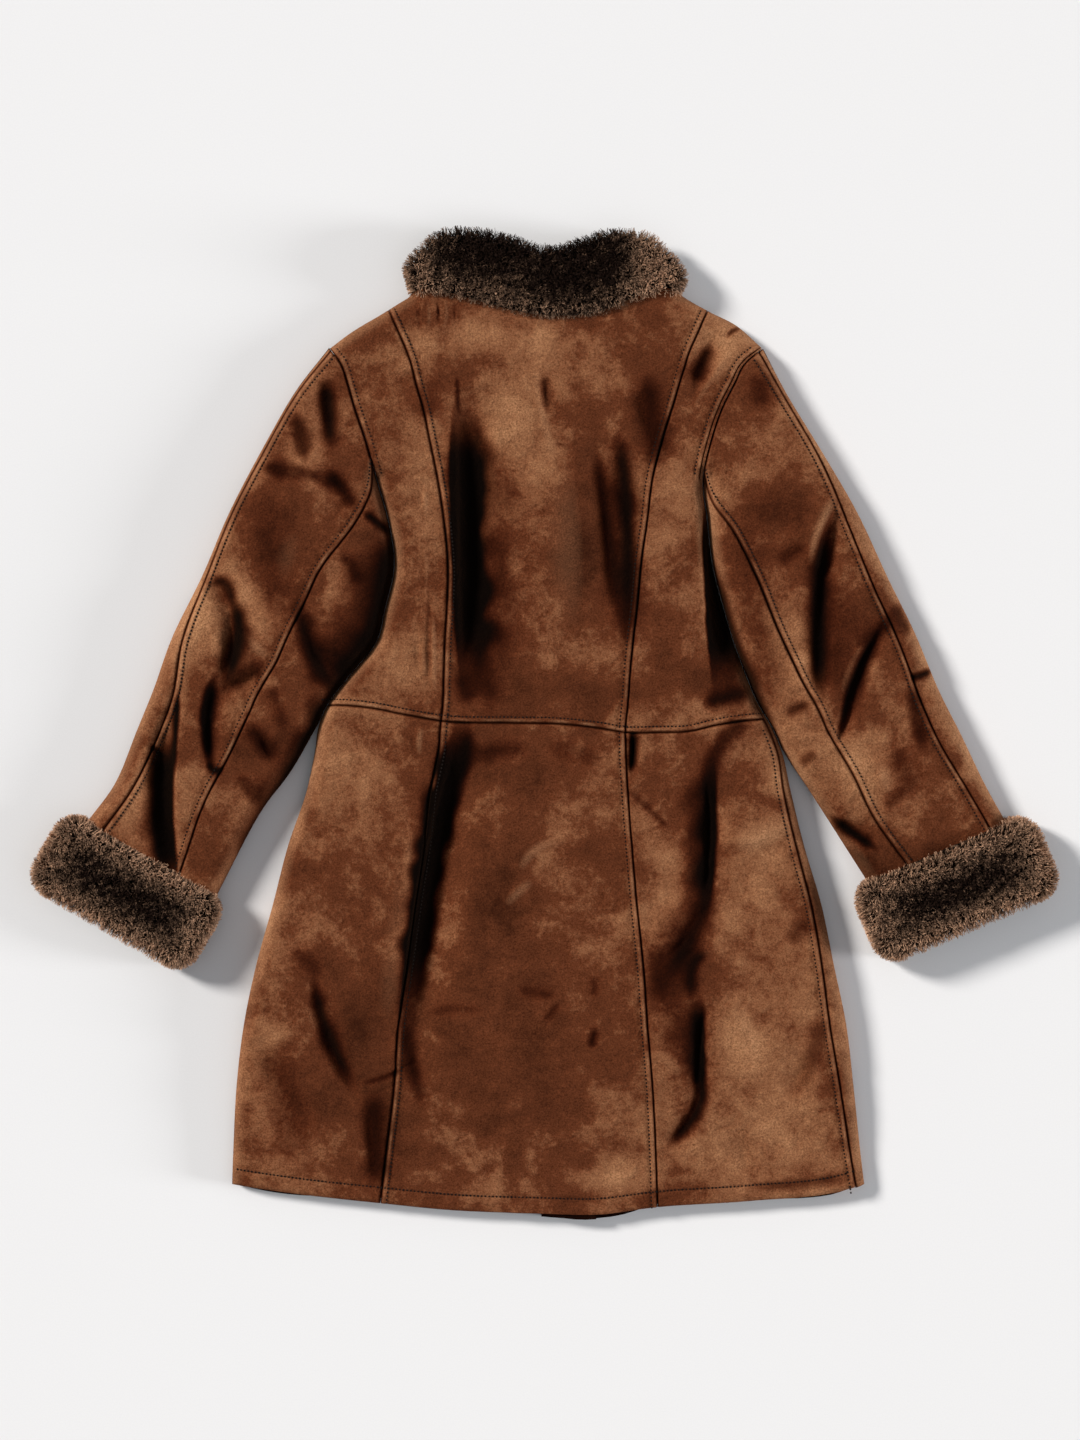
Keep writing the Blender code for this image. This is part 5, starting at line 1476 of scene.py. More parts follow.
    def edge_piece(self, node: str, seam: str, rim_u: float) -> Shell:
        """A piece that goes from a seam on top round an edge to the under seam."""
        v = self.rows()
        most = float(np.max(np.abs(rim_u - self.read(seam, v)) * self.width(v)))
        rounded = rim_steps(CLOTH.upper_rim, PITCH)
        if most <= CLOTH.narrow_strip:
            rounded = np.array([0.0, 0.4, 1.4, 3.0, 5.0, 8.0])
        over = shares(most, seam_steps(PITCH), rounded, PITCH)
        seam_u = self.read(seam, v)[:, None]
        top_u = seam_u + (rim_u - seam_u) * over
        width = self.width(v)[:, None]
        low_steps = np.append(rim_steps(CLOTH.under_rim, PITCH)[1:], CLOTH.under_step)
        toward = np.sign(UNDER_SEAM - rim_u)
        low_u = rim_u + toward * low_steps / width
        far = low_u[:, -1:] + (UNDER_SEAM - low_u[:, -1:]) * np.linspace(0, 1, 8)[1:]
        u = np.concatenate((top_u, low_u, far), axis=1)
        rim = top_u.shape[1] - 1
        vv = v[:, None]
        x, y = self.plan(u, vv)
        pull_apart(x, y, CLOTH.seam_gap / 2, CLOTH.seam_gap / 2)
        borders = [Border(self.seam(seam), False, 21), Border(self.armhole(), False, 23)]
        top_outer, top_inner, marks = self.top(x, y, u, vv, borders)
        low_outer, low_inner = self.bottom(x, y)
        above = np.arange(u.shape[1]) < rim
        outer = round_edge(rim, top_outer, low_outer)
        inner = round_edge(rim, top_inner, low_inner)
        from_rim = np.abs(u - rim_u) * width
        turn = np.where(above, CLOTH.turn_back * (1 - from_rim / from_rim[:, :1]),
                        CLOTH.turn_back * np.clip(1 - from_rim / CLOTH.turn_fade, 0.0, 1.0))
        inner_x, inner_y = self.plan(u + toward * turn / width, vv)
        ends = [0, -1]
        inner_x[:, ends] = x[:, ends]
        inner_y[:, ends] = y[:, ends]
        marks = above_only(above, marks)
        return Shell(node + "_suede", points(x, y, outer), points(inner_x, inner_y, inner), marks,
                     coarse=True)

    def back_borders(self) -> list[Border]:
        """Seams beside the piece that shows between two of them."""
        return [Border(self.seam("outer_seam"), True, 25),
                Border(self.seam("inner_seam"), True, 27), Border(self.armhole(), False, 29)]

    def back_piece(self, node: str) -> Shell:
        """The piece between the two seams that show."""
        v = self.rows()
        first = self.read("outer_seam", v)[:, None]
        last = self.read("inner_seam", v)[:, None]
        most = float(np.max((last - first)[:, 0] * self.width(v)))
        steps = seam_steps(PITCH)
        u = first + (last - first) * shares(most, steps, steps, PITCH)
        vv = v[:, None]
        x, y = self.plan(u, vv)
        pull_apart(x, y, CLOTH.seam_gap / 2, CLOTH.seam_gap / 2)
        outer, inner, marks = self.top(x, y, u, vv, self.back_borders())
        return Shell(node + "_suede", points(x, y, outer), points(x, y, inner), marks,
                     coarse=True)

    def shells(self) -> dict[str, Shell]:
        """The three shells, by the node that each replaces."""
        back, front, under = (f"sleeve_{part}_{self.label}" for part in ("back", "front", "under"))
        return {back: self.back_piece(back), front: self.edge_piece(front, "outer_seam", 0.0),
                under: self.edge_piece(under, "inner_seam", 1.0)}


SLEEVES = (
    Sleeve(SLEEVE_LEFT, CUFF_LEFT, -1.0, "left"),
    Sleeve(SLEEVE_RIGHT, CUFF_RIGHT, 1.0, "right"),
)


# ---- materials ------------------------------------------------------------

def srgb(code: str) -> tuple[float, float, float, float]:
    """Linear colour of an sRGB hex code."""
    parts = [int(code[i:i + 2], 16) / 255 for i in (1, 3, 5)]
    linear = [c / 12.92 if c <= 0.04045 else ((c + 0.055) / 1.055) ** 2.4 for c in parts]
    return (*linear, 1.0)


def add_node(tree: Tree, kind: str, inputs: dict | None = None, **settings: object) -> Node:
    """Add a node to a tree.

    Args:
        tree: the node tree.
        kind: the node's type name.
        inputs: a value, or the socket to link, by the name or number of the input.
        settings: properties of the node by name.

    Returns:
        The new node.
    """
    made = tree.nodes.new(kind)
    for key, value in settings.items():
        setattr(made, key, value)
    for key, value in (inputs or {}).items():
        if isinstance(value, Socket):
            tree.links.new(value, made.inputs[key])
        else:
            made.inputs[key].default_value = value
    return made


def compute(tree: Tree, operation: str, *values: float | Socket, clamp: bool = False) -> Socket:
    """Result of an operation on numbers or sockets."""
    return add_node(tree, "ShaderNodeMath", dict(enumerate(values)), operation=operation,
                    use_clamp=clamp).outputs[0]


def compute_vector(tree: Tree, operation: str, first: Socket,
                   second: float | tuple | Socket) -> Socket:
    """Result of a vector operation; SCALE takes a number as its second value."""
    inputs = {0: first, "Scale" if operation == "SCALE" else 1: second}
    return add_node(tree, "ShaderNodeVectorMath", inputs, operation=operation).outputs[0]


def mix_colour(tree: Tree, share: float | Socket, low: tuple | Socket, high: tuple | Socket,
               blend: str = "MIX") -> Socket:
    """Mix two colours by a share between 0 and 1."""
    return add_node(tree, "ShaderNodeMix", {0: share, 6: low, 7: high}, data_type="RGBA",
                    blend_type=blend).outputs[2]


def ramp(tree: Tree, value: Socket, low: float, high: float) -> Socket:
    """Stretch low..high to 0..1."""
    inputs = {"Value": value, "From Min": low, "From Max": high}
    return add_node(tree, "ShaderNodeMapRange", inputs).outputs["Result"]


def bumps(tree: Tree, *layers: tuple[Socket, float, float]) -> Socket:
    """Normal of layers of relief: for each its height, strength and distance."""
    below = {}
    for height, strength, distance in layers:
        inputs = {"Height": height, "Strength": strength, "Distance": distance, **below}
        below = {"Normal": add_node(tree, "ShaderNodeBump", inputs).outputs["Normal"]}
    return below["Normal"]


def mark(tree: Tree, name: str) -> Socket:
    """A float attribute of the mesh, in a material."""
    return add_node(tree, "ShaderNodeAttribute", attribute_name=name).outputs["Fac"]


class Noise(NamedTuple):
    """A noise pattern: hills to a metre, and how it is refined."""

    scale: float
    detail: float
    roughness: float = 0.5
    distortion: float = 0.0

    def at(self, tree: Tree, place: Socket) -> Socket:
        """The pattern's value."""
        inputs = {"Vector": place, "Scale": self.scale, "Detail": self.detail,
                  "Roughness": self.roughness, "Distortion": self.distortion}
        return add_node(tree, "ShaderNodeTexNoise", inputs).outputs["Fac"]


@dataclass(frozen=True)
class Finish:
    """A material with the numbers of its shader; a kind of it paints the surface."""

    name: str
    roughness: float

    def paint(self, tree: Tree, place: Socket) -> dict[str, tuple | float | Socket]:
        """Add the patterns; returns what goes into the shader's sockets."""
        raise NotImplementedError

    def material(self) -> Material:
        """Build the material."""
        material = bpy.data.materials.new(self.name)
        material.use_nodes = True
        tree = material.node_tree
        shader = tree.nodes["Principled BSDF"]
        shader.inputs["Roughness"].default_value = self.roughness
        place = add_node(tree, "ShaderNodeTexCoord").outputs["Object"]
        for key, value in self.paint(tree, place).items():
            if isinstance(value, Socket):
                tree.links.new(value, shader.inputs[key])
            else:
                shader.inputs[key].default_value = value
        return material


@dataclass(frozen=True)
class Suede(Finish):
    """Brown sheepskin suede: napped, mottled, with painted shade in its folds.

    Typical for suede: no metal, roughness near 0.9, IOR 1.5, soft sheen.
    """

    name: str = "sheepskin_suede"
    roughness: float = 0.92
    base: str = "#7E472C"
    dark: str = "#391A0C"
    light: str = "#CC966C"
    # Colour of rubbing with painted highlight, then the red and the near black of the painted shade
    # in the hollows.
    worn: str = "#CC9A72"
    shade_redder: str = "#D8A890"
    fold: str = "#090402"
    nap_shade: str = "#85776E"
    nap_light: str = "#FFFFFF"
    sheen_tint: str = "#A8683C"
    sheen: float = 0.12
    broad: Noise = Noise(13.0, 3.0, 0.5, 0.4)
    blots: Noise = Noise(52.0, 4.0, 0.6, 0.4)
    scuffs: Noise = Noise(190.0, 4.0, 0.7, 0.3)
    grain: Noise = Noise(620.0, 5.0, 0.75)
    pores: float = 430.0

    def paint(self, tree: Tree, place: Socket) -> dict[str, tuple | float | Socket]:
        """Mottle, rubbed ridges with painted highlight, painted shade in the hollows, dark seams,
        and the nap over all.
        """
        blots = self.blots.at(tree, place)
        grain = self.grain.at(tree, place)
        # The three patterns of the nap are even at 0.63; the listed blots, with painted light and
        # painted shade in them, are added to it.
        shaded = compute(tree, "MULTIPLY", self.broad.at(tree, place), 0.66)
        for share, part in ((0.36, blots), (0.24, self.scuffs.at(tree, place)),
                            (0.24, mark(tree, "tone"))):
            shaded = compute(tree, "MULTIPLY_ADD", part, share, shaded)
        # Painted shade of the hollows, together with the dark lines of the seams.
        shade_and_seams = compute(tree, "MULTIPLY_ADD", mark(tree, "seam"), 0.8,
                          ramp(tree, mark(tree, "fold"), 0.0, 1.0), clamp=True)
        # Mottle first; then rubbing with painted highlight; then the painted shade turns red and
        # nearly black.
        colour = srgb(self.dark)
        for value, low, high, over, blend in (
                (shaded, 0.29, 0.70, self.base, "MIX"),
                (shaded, 0.61, 0.97, self.light, "MIX"),
                (mark(tree, "worn"), 0.1, 1.5, self.worn, "MIX"),
                (shade_and_seams, 0.0, 0.8, self.shade_redder, "MULTIPLY"),
                (shade_and_seams, 0.15, 1.0, self.fold, "MIX")):
            colour = mix_colour(tree, ramp(tree, value, low, high), colour, srgb(over), blend)
        nap = mix_colour(tree, ramp(tree, grain, 0.3, 0.7), srgb(self.nap_shade),
                         srgb(self.nap_light))
        pores = add_node(tree, "ShaderNodeTexVoronoi", {"Vector": place, "Scale": self.pores})
        relief = bumps(tree, (grain, 0.8, 0.0010), (pores.outputs["Distance"], 0.3, 0.0007),
                       (blots, 0.6, 0.006))
        return {"Base Color": mix_colour(tree, 1.0, colour, nap, "MULTIPLY"), "Normal": relief,
                "IOR": 1.5, "Specular IOR Level": 0.03, "Sheen Weight": self.sheen,
                "Sheen Roughness": 0.45, "Sheen Tint": srgb(self.sheen_tint)}


@dataclass(frozen=True)
class Pile(Finish):
    """Curly sheep's wool, dark at the root and taupe at the tip."""

    name: str = "curly_shearling_pile"
    roughness: float = 0.75
    root: str = "#070403"
    core: str = "#21130D"
    tip: str = "#D0A687"
    sheen_tint: str = "#A8866C"
    locks: Noise = Noise(130.0, 3.0, 0.65)

    def paint(self, tree: Tree, place: Socket) -> dict[str, tuple | float | Socket]:
        """Lighter tips, with locks and strands of their own shades."""
        # The shade mark of the skins is painted light and painted shade of the fur.
        light = compute(tree, "MULTIPLY_ADD", self.locks.at(tree, place), 1.5, mark(tree, "shade"))
        light = compute(tree, "MULTIPLY_ADD", mark(tree, "own"), 0.3, light)
        hair = mix_colour(tree, ramp(tree, light, 0.78, 1.72), srgb(self.core), srgb(self.tip))
        tip = ramp(tree, mark(tree, "tip"), 0.42, 1.0)
        return {"Base Color": mix_colour(tree, tip, srgb(self.root), hair), "IOR": 1.55,
                "Specular IOR Level": 0.08, "Sheen Weight": 0.06,
                "Sheen Tint": srgb(self.sheen_tint)}


@dataclass(frozen=True)
class PlainFinish(Finish):
    """A finish of one colour with a fine mottle and grain."""

    colour: str
    mottle: str
    scale: float
    depth: float

    def paint(self, tree: Tree, place: Socket) -> dict[str, tuple | float | Socket]:
        """A mottle that is also the grain."""
        noise = Noise(self.scale, 6.0).at(tree, place)
        colour = mix_colour(tree, ramp(tree, noise, 0.3, 0.7), srgb(self.mottle), srgb(self.colour))
        return {"Base Color": colour, "Normal": bumps(tree, (noise, 0.4, self.depth)),
                "Specular IOR Level": 0.15}


# Waxed polyester thread, and a matt painted table.
THREAD = PlainFinish("waxed_thread", 0.8, "#150904", "#0D0502", 1500.0, 0.0001)
TABLE = PlainFinish("matt_white_table", 0.9, "#E2E3E5", "#DFE0E2", 700.0, 0.00005)
HIDE = PlainFinish("hide_under_pile", 0.95, "#1C130F", "#0F0A08", 400.0, 0.0005)


# ---- pile -----------------------------------------------------------------

@dataclass(frozen=True)
class PileStyle:
    """Pile of the collar or of a cuff, in millimetres unless stated."""

    length: float = 11.5
    inset: float = 10.0             # the skin lies this far inside the solid
    strands: int = 24000
    curl: float = 1.5
    radius: float = 0.46            # half the width of a strand
    lean: float = 1.9               # sideways share that gathers locks
    lock: float = 5.5               # distance between locks
    wander: float = 2.6             # how far a tip strays
    table_gap: float = 0.2
    bend: float = 4.4               # radians that a strand turns on its way
    tip_width: float = 0.55         # share of the width at the root
    loose: float = 0.3              # sideways share of a single strand
    shortest: float = 0.88
    longest: float = 1.04
    stray_scale: float = 260.0      # hills to a metre
    quick_share: float = 0.08


PILE = PileStyle()


def modifier_tree(name: str, **inputs: str) -> tuple[Tree, dict[str, Socket]]:
    """A geometry node tree with named inputs of the given types, and their sockets."""
    tree = bpy.data.node_groups.new(name, "GeometryNodeTree")
    tree.interface.new_socket("Geometry", in_out="OUTPUT", socket_type="NodeSocketGeometry")
    for label, kind in {"Geometry": "Geometry", **inputs}.items():
        tree.interface.new_socket(label, in_out="INPUT", socket_type="NodeSocket" + kind)
    ask = tree.nodes.new("NodeGroupInput").outputs
    return tree, {label: ask[label] for label in ("Geometry", *inputs)}


def end_tree(tree: Tree, geometry: Socket, material: Socket) -> None:
    """Give the result its material and put it out."""
    final = add_node(tree, "GeometryNodeSetMaterial", {"Geometry": geometry, "Material": material})
    add_node(tree, "NodeGroupOutput", {0: final.outputs["Geometry"]})


def read_attribute(tree: Tree, name: str) -> Socket:
    """A named float attribute."""
    return add_node(tree, "GeometryNodeInputNamedAttribute", {"Name": name},
                    data_type="FLOAT").outputs[0]


def store(tree: Tree, geometry: Socket, domain: str, name: str, value: Socket) -> Socket:
    """Keep a value as a named float attribute."""
    inputs = {"Geometry": geometry, "Name": name, "Value": value}
    return add_node(tree, "GeometryNodeStoreNamedAttribute", inputs, data_type="FLOAT",
                    domain=domain).outputs["Geometry"]


def vary(tree: Tree, low: float, high: float, seed: int | Socket) -> Socket:
    """A random number for each element."""
    return add_node(tree, "FunctionNodeRandomValue", {2: low, 3: high, "Seed": seed},
                    data_type="FLOAT").outputs[1]


def face_along(tree: Tree, axis: str, way: Socket) -> Socket:
    """Rotation that brings an axis to a direction."""
    return add_node(tree, "FunctionNodeAlignRotationToVector", {"Vector": way},
                    axis=axis).outputs[0]


def place_copies(tree: Tree, spots: Socket, copy: Socket, rotation: Socket,
                 scale: Socket) -> Socket:
    """A copy of a mesh on every point."""
    inputs = {"Points": spots, "Instance": copy, "Rotation": rotation, "Scale": scale}
    return add_node(tree, "GeometryNodeInstanceOnPoints", inputs).outputs["Instances"]


def realize(tree: Tree, copies: Socket) -> Socket:
    """Copies as plain geometry."""
    return add_node(tree, "GeometryNodeRealizeInstances", {"Geometry": copies}).outputs["Geometry"]


def run_tree(made: Piece, tree: Tree, values: dict, name: str,
             material: Material) -> Piece:
    """Run a tree on a copy of an object and keep the result as a plain mesh."""
    modifier = made.modifiers.new("grow", "NODES")
    modifier.node_group = tree
    for item in tree.interface.items_tree:
        if item.item_type == "SOCKET" and item.in_out == "INPUT" and item.name in values:
            modifier[item.identifier] = values[item.name]
    made.update_tag()
    graph = bpy.context.evaluated_depsgraph_get()
    mesh = bpy.data.meshes.new_from_object(made.evaluated_get(graph))
    made.modifiers.remove(modifier)
    mesh.name = name
    mesh.materials.clear()
    mesh.materials.append(material)
    return add_object(name, mesh)


def straight(tree: Tree, start: tuple, end: tuple) -> Socket:
    """A straight line."""
    inputs = {"Start": start, "End": end}
    return add_node(tree, "GeometryNodeCurvePrimitiveLine", inputs).outputs["Curve"]


def strand(tree: Tree, ask: dict[str, Socket]) -> Socket:
    """One strand: a flat ribbon that curls and grows narrower to its tip."""
    line = straight(tree, (0, 0, 0), (0, 0, 1))
    curve = add_node(tree, "GeometryNodeResampleCurve", {"Curve": line, "Count": 4})
    along = add_node(tree, "GeometryNodeSplineParameter").outputs["Factor"]
    angle = compute(tree, "MULTIPLY", along, PILE.bend)
    aside = compute(tree, "SUBTRACT", 1.0, compute(tree, "COSINE", angle))
    curl = add_node(tree, "ShaderNodeCombineXYZ", {0: compute(tree, "SINE", angle), 1: aside})
    curl = compute_vector(tree, "SCALE", curl.outputs[0], ask["Curl"])
    height = compute(tree, "MULTIPLY", along, ask["Length"])
    upright = add_node(tree, "ShaderNodeCombineXYZ", {2: height})
    shape = compute_vector(tree, "ADD", upright.outputs[0], curl)
    curled = add_node(tree, "GeometryNodeSetPosition",
                      {"Geometry": curve.outputs["Curve"], "Position": shape}).outputs["Geometry"]
    width = add_node(tree, "ShaderNodeMapRange",
                     {"Value": along, "To Min": 1.0, "To Max": PILE.tip_width}).outputs[0]
    inputs = {"Curve": store(tree, curled, "POINT", "tip", along), "Fill Caps": False,
              "Profile Curve": straight(tree, (-1, 0, 0), (1, 0, 0)),
              "Scale": compute(tree, "MULTIPLY", width, ask["Radius"])}
    return add_node(tree, "GeometryNodeCurveToMesh", inputs).outputs["Mesh"]


def centred(tree: Tree, noise: Node, amount: Socket) -> Socket:
    """A noise's colour as a vector round 0, times the amount."""
    way = compute_vector(tree, "SUBTRACT", noise.outputs["Color"], (0.5, 0.5, 0.5))
    return compute_vector(tree, "SCALE", way, amount)


def strand_rotation(tree: Tree, ask: dict[str, Socket], normal: Socket) -> Socket:
    """The normal, drawn sideways with the neighbours of the same lock."""
    place = add_node(tree, "GeometryNodeInputPosition").outputs[0]
    locks = add_node(tree, "ShaderNodeTexNoise",
                     {"Vector": place, "Scale": ask["Lock Scale"], "Detail": 1.0})
    loose = add_node(tree, "FunctionNodeRandomValue",
                     {0: (-PILE.loose,) * 3, 1: (PILE.loose,) * 3, "Seed": ask["Seed"]},
                     data_type="FLOAT_VECTOR").outputs[0]
    way = compute_vector(tree, "ADD", centred(tree, locks, ask["Lean"]), loose)
    facing = face_along(tree, "Z", compute_vector(tree, "ADD", way, normal))
    spin = add_node(tree, "FunctionNodeAxisAngleToRotation",
                    {"Axis": (0.0, 0.0, 1.0), "Angle": vary(tree, 0.0, 6.283, ask["Seed"])})
    return add_node(tree, "FunctionNodeRotateRotation",
                    {"Rotation": facing, "Rotate By": spin.outputs[0]},
                    rotation_space="LOCAL").outputs[0]


def stray(tree: Tree, wool: Socket, wander: Socket) -> Socket:
    """Let each strand wander a little, more towards its tip."""
    place = add_node(tree, "GeometryNodeInputPosition").outputs[0]
    noise = add_node(tree, "ShaderNodeTexNoise",
                     {"Vector": place, "Scale": PILE.stray_scale, "Detail": 1.0})
    amount = compute(tree, "MULTIPLY", read_attribute(tree, "tip"), wander)
    return add_node(tree, "GeometryNodeSetPosition",
                    {"Geometry": wool, "Offset": centred(tree, noise, amount)}).outputs["Geometry"]


def press(tree: Tree, wool: Socket) -> Socket:
    """Wool that would reach below the table lies pressed on it."""
    place = add_node(tree, "GeometryNodeInputPosition").outputs[0]
    spot = add_node(tree, "ShaderNodeSeparateXYZ", {0: place}).outputs
    above = compute(tree, "MAXIMUM", spot["Z"], PILE.table_gap * MM)
    pressed = add_node(tree, "ShaderNodeCombineXYZ", {0: spot["X"], 1: spot["Y"], 2: above})
    return add_node(tree, "GeometryNodeSetPosition",
                    {"Geometry": wool, "Position": pressed.outputs[0]}).outputs["Geometry"]


def pile_tree() -> Tree:
    """Strands of wool on the faces of a skin, leaning together in locks."""
    lengths = ("Density", "Length", "Curl", "Radius", "Lean", "Lock Scale", "Wander")
    tree, ask = modifier_tree("pile", **dict.fromkeys(lengths, "Float"), Seed="Int",
                              Material="Material")
    density = compute(tree, "MULTIPLY", read_attribute(tree, "dense"), ask["Density"])
    spots = add_node(tree, "GeometryNodeDistributePointsOnFaces",
                     {"Mesh": ask["Geometry"], "Density": density, "Seed": ask["Seed"]},
                     distribute_method="RANDOM").outputs
    # The inside's reach is blank, so the strands grow shorter on the way to it.
    length = compute(tree, "MULTIPLY", vary(tree, PILE.shortest, PILE.longest, 3),
                     read_attribute(tree, "reach"))
    scale = add_node(tree, "ShaderNodeCombineXYZ", {0: 1.0, 1: 1.0, 2: length}).outputs[0]
    rotation = strand_rotation(tree, ask, spots["Normal"])
    placed = place_copies(tree, spots["Points"], strand(tree, ask), rotation, scale)
    toned = store(tree, placed, "INSTANCE", "own", vary(tree, 0.0, 1.0, 9))
    wool = press(tree, stray(tree, realize(tree, toned), ask["Wander"]))
    end_tree(tree, wool, ask["Material"])
    return tree


@dataclass(frozen=True)
class SkinForm:
    """Hide under the pile, in millimetres."""

    wall: float = 5.0
    least: float = 1.0              # from its middle height
    low: float = 3.0                # over the table
    edge_drop: float = 5.0          # of the upper side at its edges
    cuff_inset: float = 7.0         # across the cuff
    corner_inset: float = 6.0
    cuff_rim_inset: float = 8.0
    collar_rim_inset: float = 7.0
    turn_back: float = 6.0
    dense_rim: float = 12.0         # farther in, the under side has fewer strands
    cuff_under: float = 0.25        # share of the strands there
    collar_under: float = 0.2

    def heights(self, height: float, upper: Array, at_rim: Array, rim: Array,
                edge: Array) -> tuple[Array, Array]:
        """Outer and inner height; the two sides meet halfway up at the rim."""
        middle = height / 2
        top = middle + (height - PILE.inset - middle) * rim - self.edge_drop * (1 - edge)
        low = middle + (self.low - middle) * rim
        outer = np.where(at_rim, middle, np.where(upper, top, low))
        inner = np.where(upper, np.maximum(outer - self.wall, middle + self.least),
                         np.minimum(outer + self.wall, middle - self.least))
        return outer, np.where(at_rim, middle, inner)

    def dense(self, upper: Array, from_end: Array, under: float) -> Array:
        """Share of the strands: all of them above and at the rim."""
        return np.where(upper, 1.0, under + (1 - under) * (from_end < self.dense_rim))


SKIN = SkinForm()


class FurSkins:
    """Hide under the pile: rings and bands inside the furry solids."""

    @staticmethod
    def cuff(cuff: Cuff, name: str) -> Shell:
        """The skin of a cuff: a flattened tube set in by the pile."""
        length = cuff.length - 2 * PILE.inset
        width = cuff.width - 2 * SKIN.cuff_inset
        corner_radius = FUR.cuff_corner - SKIN.corner_inset
        across = np.array([-1.0, -0.96, -0.88, *np.linspace(-0.76, 0.76, 13), 0.88, 0.96, 1.0])
        head = np.array([-1.0, -0.985, -0.95, -0.89, -0.82])
        along = np.concatenate((head, np.linspace(-0.74, 0.74, 31), -head[::-1]))
        b = across[:, None] * width / 2
        corner = corner_radius * (1 - rounding(width / 2 - np.abs(b), corner_radius))
        half_length = length / 2 - corner
        over = along[None, :] * half_length
        ring = np.concatenate((over, over[:, -2:0:-1]), axis=1)
        upper = np.arange(ring.shape[1]) < over.shape[1]
        from_end = half_length - np.abs(ring)
        rim = rounding(from_end, FUR.cuff_rim - SKIN.cuff_rim_inset)
        edge = rounding(1 - np.abs(across[:, None]), 0.3)
        outer, inner = SKIN.heights(FUR.cuff_height, upper, from_end < 1e-6, rim, edge)
        inner_ring = ring - np.sign(ring) * SKIN.turn_back * (1 - from_end / half_length)
        x, y = cuff_point(cuff, ring, b)
        inner_x, inner_y = cuff_point(cuff, inner_ring, b)
        marks = {"shade": FurSkins.cuff_shade(ring / length * 2, b / width * 2),
                 "dense": SKIN.dense(upper, from_end, SKIN.cuff_under),
                 "reach": np.ones(x.shape)}
        return Shell(name, points(x, y, outer), points(inner_x, inner_y, inner), marks, closed=True)

    @staticmethod
    def cuff_shade(a: Array, b: Array) -> Array:
        """Painted light on the rims and painted shade in the core of a cuff; a and b are 1 at its
        ends and sides.
        """
        return np.clip(np.maximum(np.abs(a) ** 4, np.abs(b) ** 1.9), 0.0, 1.0) - 0.2

    @staticmethod
    def neck_row() -> tuple[Array, Array]:
        """The neck line as straight stretches, as the solids have it."""
        first = body_column("left_seam", np.array([2.0]))
        last = body_column("right_seam", np.array([2.0]))
        x = first + (last - first) * np.linspace(0.0, 1.0, 14)
        return x, level_y(x, np.array(2.0))

    @classmethod
    def collar_plan(cls, s: Array, v: Array) -> tuple[Array, Array]:
        """Place of a point of the collar: s from left to right, v foot to edge."""
        neck_x, neck_y = cls.neck_row()
        foot_x = FUR.collar_foot_left + (FUR.collar_foot_right - FUR.collar_foot_left) * s
        foot_y = np.interp(foot_x, neck_x, neck_y) + FUR.collar_gap
        edge_t = np.linspace(0, 1, len(COLLAR_EDGE))
        edge_s = 0.5 + (s - 0.5) * FUR.collar_edge_share
        edge_at = spline(edge_t, column(COLLAR_EDGE, "x"), edge_s)
        edge_y = spline(edge_t, column(COLLAR_EDGE, "y"), edge_s)
        return foot_x + (edge_at - foot_x) * v, foot_y + (edge_y - foot_y) * v

    @classmethod
    def collar(cls, name: str) -> Shell:
        """The skin of the collar: a band from one front end to the other."""
        width = FUR.collar_foot_right - FUR.collar_foot_left
        v = np.concatenate(([0.05, 0.09], np.linspace(0.15, 0.78, 15), [0.84, 0.88]))[:, None]
        inset = PILE.inset / width
        turn = np.array([0.0, 0.4, 1.6, 3.6, 6.5, 10.0]) / width
        middle_part = np.linspace(inset + turn[-1], 1 - inset - turn[-1], 60)
        over = np.concatenate((inset + turn[:-1], middle_part, 1 - inset - turn[-2::-1]))
        gap = 0.5 * FUR.collar_front_gap / width + 0.03
        left_under = np.concatenate((np.linspace(0.5 - gap, inset + turn[-1], 12),
                                     inset + turn[-2:0:-1]))
        right_under = 1 - left_under[::-1]
        s = np.concatenate((left_under, over, right_under))
        first = len(left_under)
        last = first + len(over) - 1
        index = np.arange(len(s))
        upper = (index >= first) & (index <= last)
        at_rim = (index == first) | (index == last)
        x, y = cls.collar_plan(s, v)
        from_end = np.minimum(s - inset, 1 - inset - s) * width
        rim = rounding(from_end, FUR.collar_rim - SKIN.collar_rim_inset)
        edge = rounding(np.minimum(v - 0.05, 0.88 - v) / 0.83, 0.2)
        outer, inner = SKIN.heights(FUR.collar_height, upper, at_rim, rim, edge)
        back = SKIN.turn_back * np.clip(1 - from_end / FUR.collar_rim, 0.0, 1.0) / width
        inner_x, inner_y = cls.collar_plan(s + np.where(s < 0.5, back, -back), v)
        marks = {"shade": cls.collar_shade(x, y, v),
                 "dense": SKIN.dense(upper, from_end, SKIN.collar_under) + 0.0 * v,
                 "reach": np.ones(x.shape)}
        return Shell(name, points(x, y, outer), points(inner_x, inner_y, inner), marks)

    @staticmethod
    def collar_shade(x: Array, y: Array, v: Array) -> Array:
        """Painted shade in the hollows, and painted light on the lower edge and the ends of the
        collar.
        """
        shade = patch_tone(COLLAR_PATCHES, x, y) + 0.25 * bump(v - 0.05, 0.22)
        shade = shade + 0.55 * smooth_step((x - 62) / 44) + 0.45 * smooth_step((-x - 92) / 30)
        return np.clip(shade, -0.25, 1.2)


# ---- topstitching ---------------------------------------------------------

@dataclass(frozen=True)
class StitchSize:
    """One stitch and its row, in millimetres."""

    pitch: float = 3.6
    length: float = 2.5
    width: float = 2.2
    height: float = 1.1
    proud: float = 0.5              # its middle lies this far over the suede
    smallest: float = 0.85
    largest: float = 1.1


STITCH = StitchSize()


